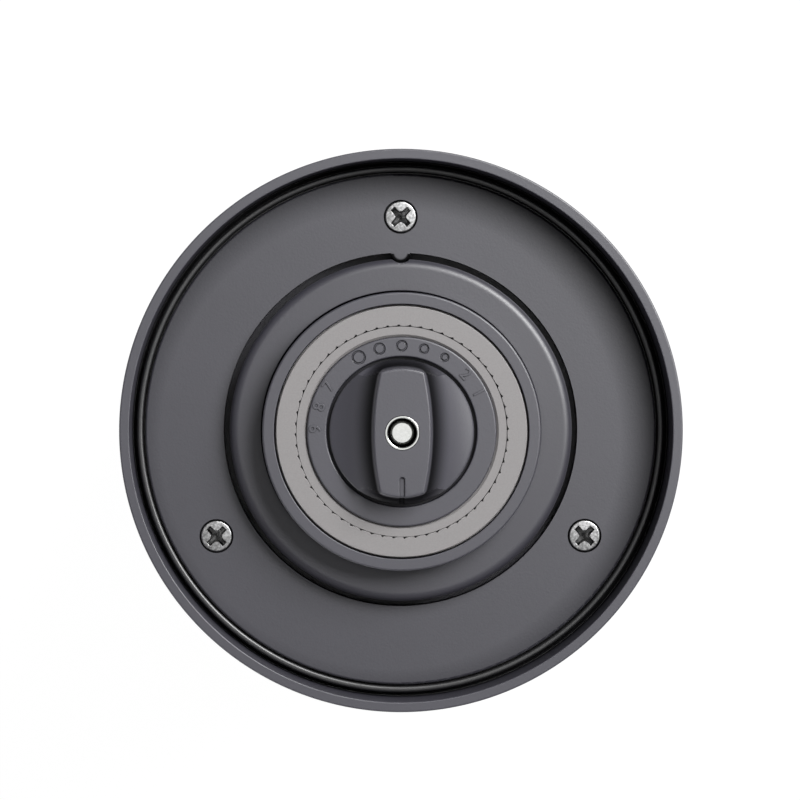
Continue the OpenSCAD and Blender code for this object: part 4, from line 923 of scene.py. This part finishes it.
def knob_points():
    """The knob as one sheet: rows go round the bar, and columns run outward from the socket's hole.

    They cross the bar's flat top, its bevel and the flank, and come back round the rim and underneath.
    The flank's height blends from the side's to the end's, and near the end the side's stays under the
    end's. The pointer slot is sunk where the top or the flank lies within its half width.
    """
    far, near = half_bar(slot=False), half_bar(slot=True)
    anchor = np.concatenate([far[0], -near[0]])
    turn = np.concatenate([far[1], near[1] + np.pi])
    hole = np.concatenate([far[2], near[2] + np.pi])
    weight = np.concatenate([far[3], near[3]])[:, None]
    normal = np.stack([np.cos(turn), np.sin(turn)], -1)
    bar = anchor + BAR_CORNER * normal
    rows = len(bar)
    along = np.einsum("ij,ij->i", bar, normal)
    reach = (np.sqrt(along ** 2 - np.einsum("ij,ij->i", bar, bar) + KNOB_R ** 2) - along)[:, None]

    top_share = np.concatenate([np.linspace(0, 0.5, 6), np.linspace(0.55, 0.74, 14), np.linspace(0.78, 1, 8)])
    hole_point = SOCKET_R * np.stack([np.cos(hole), np.sin(hole)], -1)
    top_edge = bar - BAR_BEVEL * normal
    top = hole_point[:, None] + (top_edge - hole_point)[:, None] * top_share[None, :, None]
    slot_y = np.maximum(top[..., 1] + BAR_R - POINTER_LEN + POINTER_HALF, 0)
    slot_away = np.hypot(top[..., 0], slot_y) - POINTER_HALF
    in_slot = (1 - smooth(slot_away, -POINTER_WALL, POINTER_WALL)) * (top[..., 1] < -SOCKET_R)
    top_z = knob_top - POINTER_DEPTH * in_slot

    quarter = np.linspace(1 / BEVEL_STEPS, 1, BEVEL_STEPS) * np.pi / 2
    bevel_t = np.broadcast_to(-BAR_BEVEL * (1 - np.sin(quarter)), (rows, BEVEL_STEPS))
    steep_t = np.broadcast_to(np.linspace(1 / STEEP_STEPS, 1, STEEP_STEPS) * STEEP_RUN, (rows, STEEP_STEPS))
    out_share = np.linspace(0, 1, OUT_STEPS)[1:] ** 1.5
    t = np.concatenate([bevel_t, steep_t, STEEP_RUN + (reach - STEEP_RUN) * out_share[None, :]], 1)
    flank = bar[:, None] + t[..., None] * normal[:, None]
    flank_r = np.hypot(flank[..., 0], flank[..., 1])
    off_bar = np.arctan2(np.abs(flank[..., 0]), np.abs(flank[..., 1]))
    lift = KNOB_RISE * smooth(off_bar, *END_ZONE)
    beside = np.minimum(side_height(t), end_height(np.maximum(flank_r - BAR_R, 0)) + lift)
    pointer = (np.abs(flank[:, -1:, 0]) < 1.02 * POINTER_HALF) * (flank[:, -1:, 1] < 0)
    beyond = end_height(np.minimum(t / reach * BAR_INSET + pointer * POINTER_DEPTH, BAR_INSET))
    flank_z = (1 - weight) * beside + weight * beyond
    flank_z[:, :BEVEL_STEPS] = knob_top - BAR_BEVEL * (1 - np.cos(quarter))
    flank_z = flank_z - POINTER_DEPTH * pointer * (t <= 0)

    rim = KNOB_R * flank[:, -1] / flank_r[:, -1:]
    flank[:, -1] *= 1 - RIM_BEVEL / KNOB_R
    bottom, insert_top = knob_low.z, knob_low.z + INSERT_H
    insert_edge = hole_point * INSERT_R / SOCKET_R
    under = [(rim, flank_z[:, -1:] - FINE_EDGE), (rim, bottom + FINE_EDGE),
             (rim * (1 - FINE_EDGE / KNOB_R), bottom), (insert_edge, bottom), (insert_edge, insert_top),
             (hole_point, insert_top), (hole_point, knob_top - FINE_EDGE)]
    sheet = [np.concatenate([top, top_z[..., None]], -1), np.concatenate([flank, flank_z[..., None]], -1)]
    sheet += [np.concatenate([spot, np.broadcast_to(level, (rows, 1))], -1)[:, None] for spot, level in under]
    return np.concatenate(sheet, 1)


def painted_cove_shade(material):
    """Adds painted shade round the foot of the bar, darkest at its edge and gone at the ramp.

    How far a spot is past the side's arc and past the end's arc, both drawn in by the corner's radius, make
    two legs. The distance from the bar is their diagonal less that radius. Where it is below zero the top
    is left unshaded.
    """
    tree, skin, place = surface_of(material)
    split = add(tree, "SeparateXYZ", {"Vector": place})
    aside = add(tree, "Math", {0: split.outputs["X"]}, operation="ABSOLUTE")
    legs = []
    for shift, radius in ((side_shift, side_r), (0, BAR_R)):
        shifted = add(tree, "Math", {0: aside, 1: shift}, operation="ADD")
        spot = add(tree, "CombineXYZ", {"X": shifted, "Y": split.outputs["Y"]})
        span = add(tree, "VectorMath", {0: spot}, operation="LENGTH")
        past = add(tree, "Math", {0: span, 1: radius - BAR_CORNER}, operation="SUBTRACT")
        legs.append(add(tree, "Math", {0: past, 1: 0}, operation="MAXIMUM"))
    both = add(tree, "CombineXYZ", {"X": legs[0], "Y": legs[1]})
    away = add(tree, "VectorMath", {0: both}, operation="LENGTH")
    part = add(tree, "MapRange", {"Value": away}, From_Min=BAR_CORNER, From_Max=BAR_CORNER + COVE_SHADE_RUN)
    share = add(tree, "ValToRGB", {"Fac": part},
                stops=[(COVE_SHADE_DARKEST, (COVE_SHADE_FOOT, COVE_SHADE_FOOT, COVE_SHADE_FOOT, 1)), (1, WHITE)])
    share.color_ramp.interpolation = "EASE"
    share.color_ramp.elements.new(COVE_SHADE_TOP_END).color = WHITE
    paint_shade(tree, skin, share)
    return material


knob = grid_piece("adjust_knob_grip", knob_points(), wrap_columns=True)
# Painted shade darkens the coves at the foot of the bar.
grip_abs = painted_cove_shade(spark_eroded_abs("spark_eroded_grip_abs", ABS_GREY, **BODY_FINISH))
dress(knob, grip_abs, "knob", "grey_plastic", "adjust_knob")

# Knob insert: a turned steel nut moulded into the knob, which runs on the shaft's thread.
# Its bright lip rings the shaft's tip.
insert_low, insert_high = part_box("knob_insert")
THREAD_R = 2.3 * MM
LIP_R = 2.7 * MM
NUT_TURNS = 96
NUT_CLEARANCE = 0.05 * MM
LIP_FILLET = 0.08 * MM
LIP_FILLET_IN = 0.12 * MM

shoulder = insert_low.z + INSERT_H - NUT_CLEARANCE
nut = revolve("knob_insert_nut", rounded([
    (THREAD_R, insert_low.z, FINE_EDGE), (insert_high.x, insert_low.z, FINE_EDGE),
    (insert_high.x, shoulder, FINE_EDGE), (LIP_R, shoulder, SHARP_EDGE),
    (LIP_R, insert_high.z, LIP_FILLET), (THREAD_R, insert_high.z, LIP_FILLET_IN)]), turns=NUT_TURNS)
dress(nut, shaft_steel, "knob", "steel", "knob_insert")

# Head shell: the body's other half, a deep moulded cup in the same grey ABS that stands on its flat end.
# Posts inside take the boards and the chassis screws, and its wall is pierced for button, socket and light.
finish(shell_abs, "head_shell")

# Power button: a round ABS cap with a dished face, moulded smoother than the shell.
# A flange behind the wall holds it in, and a coil spring pushes it out.
button_abs = spark_eroded_abs("satin_button_abs", "4a4a50", grain=0.2, relief=0.005, rough=0.36)
finish(button_abs, "power_button")
finish(spring_steel, "button_spring")

# Charging socket and light: a drawn, nickel-plated steel shell soldered on its board,
# and a light pipe of frosted acrylic pressed into the wall above it.
ETCH_WIDTH = 0.12 * MM
ETCH_DEPTH = 0.008 * MM


def frosted_acrylic(name, code):
    """Frosted acrylic: milky and faintly see-through, with a fine etched surface."""
    return patterned(name, "TexNoise", {"Scale": 1 / ETCH_WIDTH, "Detail": 3.0}, ETCH_DEPTH,
                     Base_Color=linear(code), Roughness=0.4, IOR=1.49, Transmission_Weight=0.35)


finish(plated_steel("nickel_plated_steel", "cfcac2", 0.24, streak=0.3), "charging_socket")
finish(frosted_acrylic("frosted_acrylic", "e9ebe6"), "charge_light")

# Chassis, its screws and its seals: a glass-filled nylon frame that closes the head and roofs the hopper.
# A rubber ring in its spigot seals the mill, and a lip ring seals the coupling.
nylon = spark_eroded_abs("glass_filled_nylon", "3a3a3f", grain=0.9, relief=0.02, rough=0.52, drift=0.09)
finish(nylon, "chassis")
finish(bright_zinc, "chassis_screws")
finish(black_rubber, "head_seal", "shaft_seal")

# Circuit boards and switch: glass epoxy under green solder mask, set on the head's posts.
# A black push switch is soldered on the control board, behind the button.
TRACK_SPACING = 4 * MM
TRACK_RISE = 0.03 * MM


def solder_mask(name, code, track_code):
    """Circuit board: glossy green lacquer over copper tracks, which show as raised, paler lines."""
    material, tree, place = start_material(name)
    tracks = add(tree, "TexBrick", {"Vector": place}, Scale=1 / TRACK_SPACING, Mortar_Size=0.06,
                 Mortar_Smooth=0.2, Color1=linear(code), Color2=linear(code), Mortar=linear(track_code))
    bump = add(tree, "Bump", {"Height": tracks.outputs["Fac"]}, Distance=TRACK_RISE)
    lacquer = add(tree, "BsdfPrincipled", {"Base Color": tracks, "Normal": bump}, Roughness=0.25, IOR=1.55)
    add(tree, "OutputMaterial", {"Surface": lacquer})
    return material


board_green = solder_mask("green_solder_mask", "24583a", "4c8a62")
finish(board_green, "control_board", "charge_board")
finish(black_abs, "start_switch")

# Battery: two steel cells in shrink-wrapped sleeves, set end for end in a moulded cradle.
# The cradle is black ABS, and both ends of each cell are left bare.
cell_low, cell_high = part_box("battery_cells")
BARE_END = 1.3 * MM
RIPPLE_WIDTH = 3 * MM
RIPPLE_RISE = 0.04 * MM


def shrink_wrap(name, code):
    """Shrink-wrapped cell: a smooth coloured sleeve, with bare bright steel past a height from its middle."""
    material, tree, place = start_material(name)
    split = add(tree, "SeparateXYZ", {"Vector": place})
    middle, half = (cell_low.z + cell_high.z) / 2, (cell_high.z - cell_low.z) / 2
    height = add(tree, "Math", {0: split.outputs["Z"], 1: middle}, operation="SUBTRACT")
    away = add(tree, "Math", {0: height}, operation="ABSOLUTE")
    bare = add(tree, "Math", {0: away, 1: half - BARE_END}, operation="GREATER_THAN")
    ripple = add(tree, "TexNoise", {"Vector": place}, Scale=1 / RIPPLE_WIDTH, Detail=2.0)
    bump = add(tree, "Bump", {"Height": ripple}, Distance=RIPPLE_RISE)
    sleeve = add(tree, "BsdfPrincipled", {"Normal": bump}, Base_Color=linear(code), Roughness=0.3, IOR=1.53)
    cap = add(tree, "BsdfPrincipled", {"Normal": bump}, Base_Color=linear("c9cacc"), Roughness=0.28,
              Metallic=1.0)
    both = add(tree, "MixShader", {0: bare, 1: sleeve, 2: cap})
    add(tree, "OutputMaterial", {"Surface": both})
    return material


finish(shrink_wrap("shrink_wrapped_cell", "3f6f52"), "battery_cells")
finish(black_abs, "battery_cradle")

# Motor: a drawn steel can with two ferrite magnets, a laminated iron armature and a white nylon end cap.
# It is screwed to the gearbox by its face.
SHEET = 0.5 * MM
SHEET_RELIEF = 0.03 * MM


def laminated_iron(name, code):
    """Stack of iron sheets: dull metal ruled with lines across Z, one to each sheet."""
    return patterned(name, "TexWave", {"bands_direction": "Z", "Scale": WAVE_LENGTH / SHEET}, SHEET_RELIEF,
                     Base_Color=linear(code), Roughness=0.42, Metallic=1.0)


white_nylon = spark_eroded_abs("white_nylon", "e2e0d6", grain=0.5, relief=0.01, rough=0.42, drift=0.03)
finish(plated_steel("drawn_zinc_plated_steel", "b4b6b8", 0.34, streak=0.5), "motor_can")
finish(spark_eroded_abs("sintered_ferrite", "2a2a2c", grain=0.25, relief=0.02, rough=0.6), "motor_magnets")
finish(white_nylon, "motor_end_cap")
finish(bright_zinc, "motor_screws")
finish(laminated_iron("laminated_iron", "8d8f94"), "motor_armature")

# Gearbox: two planetary stages in a zinc die-cast housing, hung from the chassis by its cover's lugs.
# The first planets are acetal, the second ones brass, and both carriers are sintered steel.
die_cast = spark_eroded_abs("die_cast_zinc", "a9abae", grain=1.1, relief=0.015, rough=0.4, drift=0.08)
cut_brass = plated_steel("hobbed_brass", "c8a552", 0.3, streak=0.2)
sintered_steel = sintered_bronze("sintered_steel", "8f9194")
acetal = spark_eroded_abs("white_acetal", "e8e8e4", grain=0.3, relief=0.004, rough=0.32, drift=0.02)
finish(die_cast, "gearbox_housing", "gearbox_cover")
finish(bright_zinc, "gearbox_screws", "cover_screws")
finish(acetal, "first_planet_1", "first_planet_2", "first_planet_3")
finish(cut_brass, "sun_pinion", "second_planet_1", "second_planet_2", "second_planet_3")
finish(sintered_steel, "first_carrier", "second_carrier")
finish(bush_bronze, "output_bush")
finish(shaft_steel, "drive_coupling")
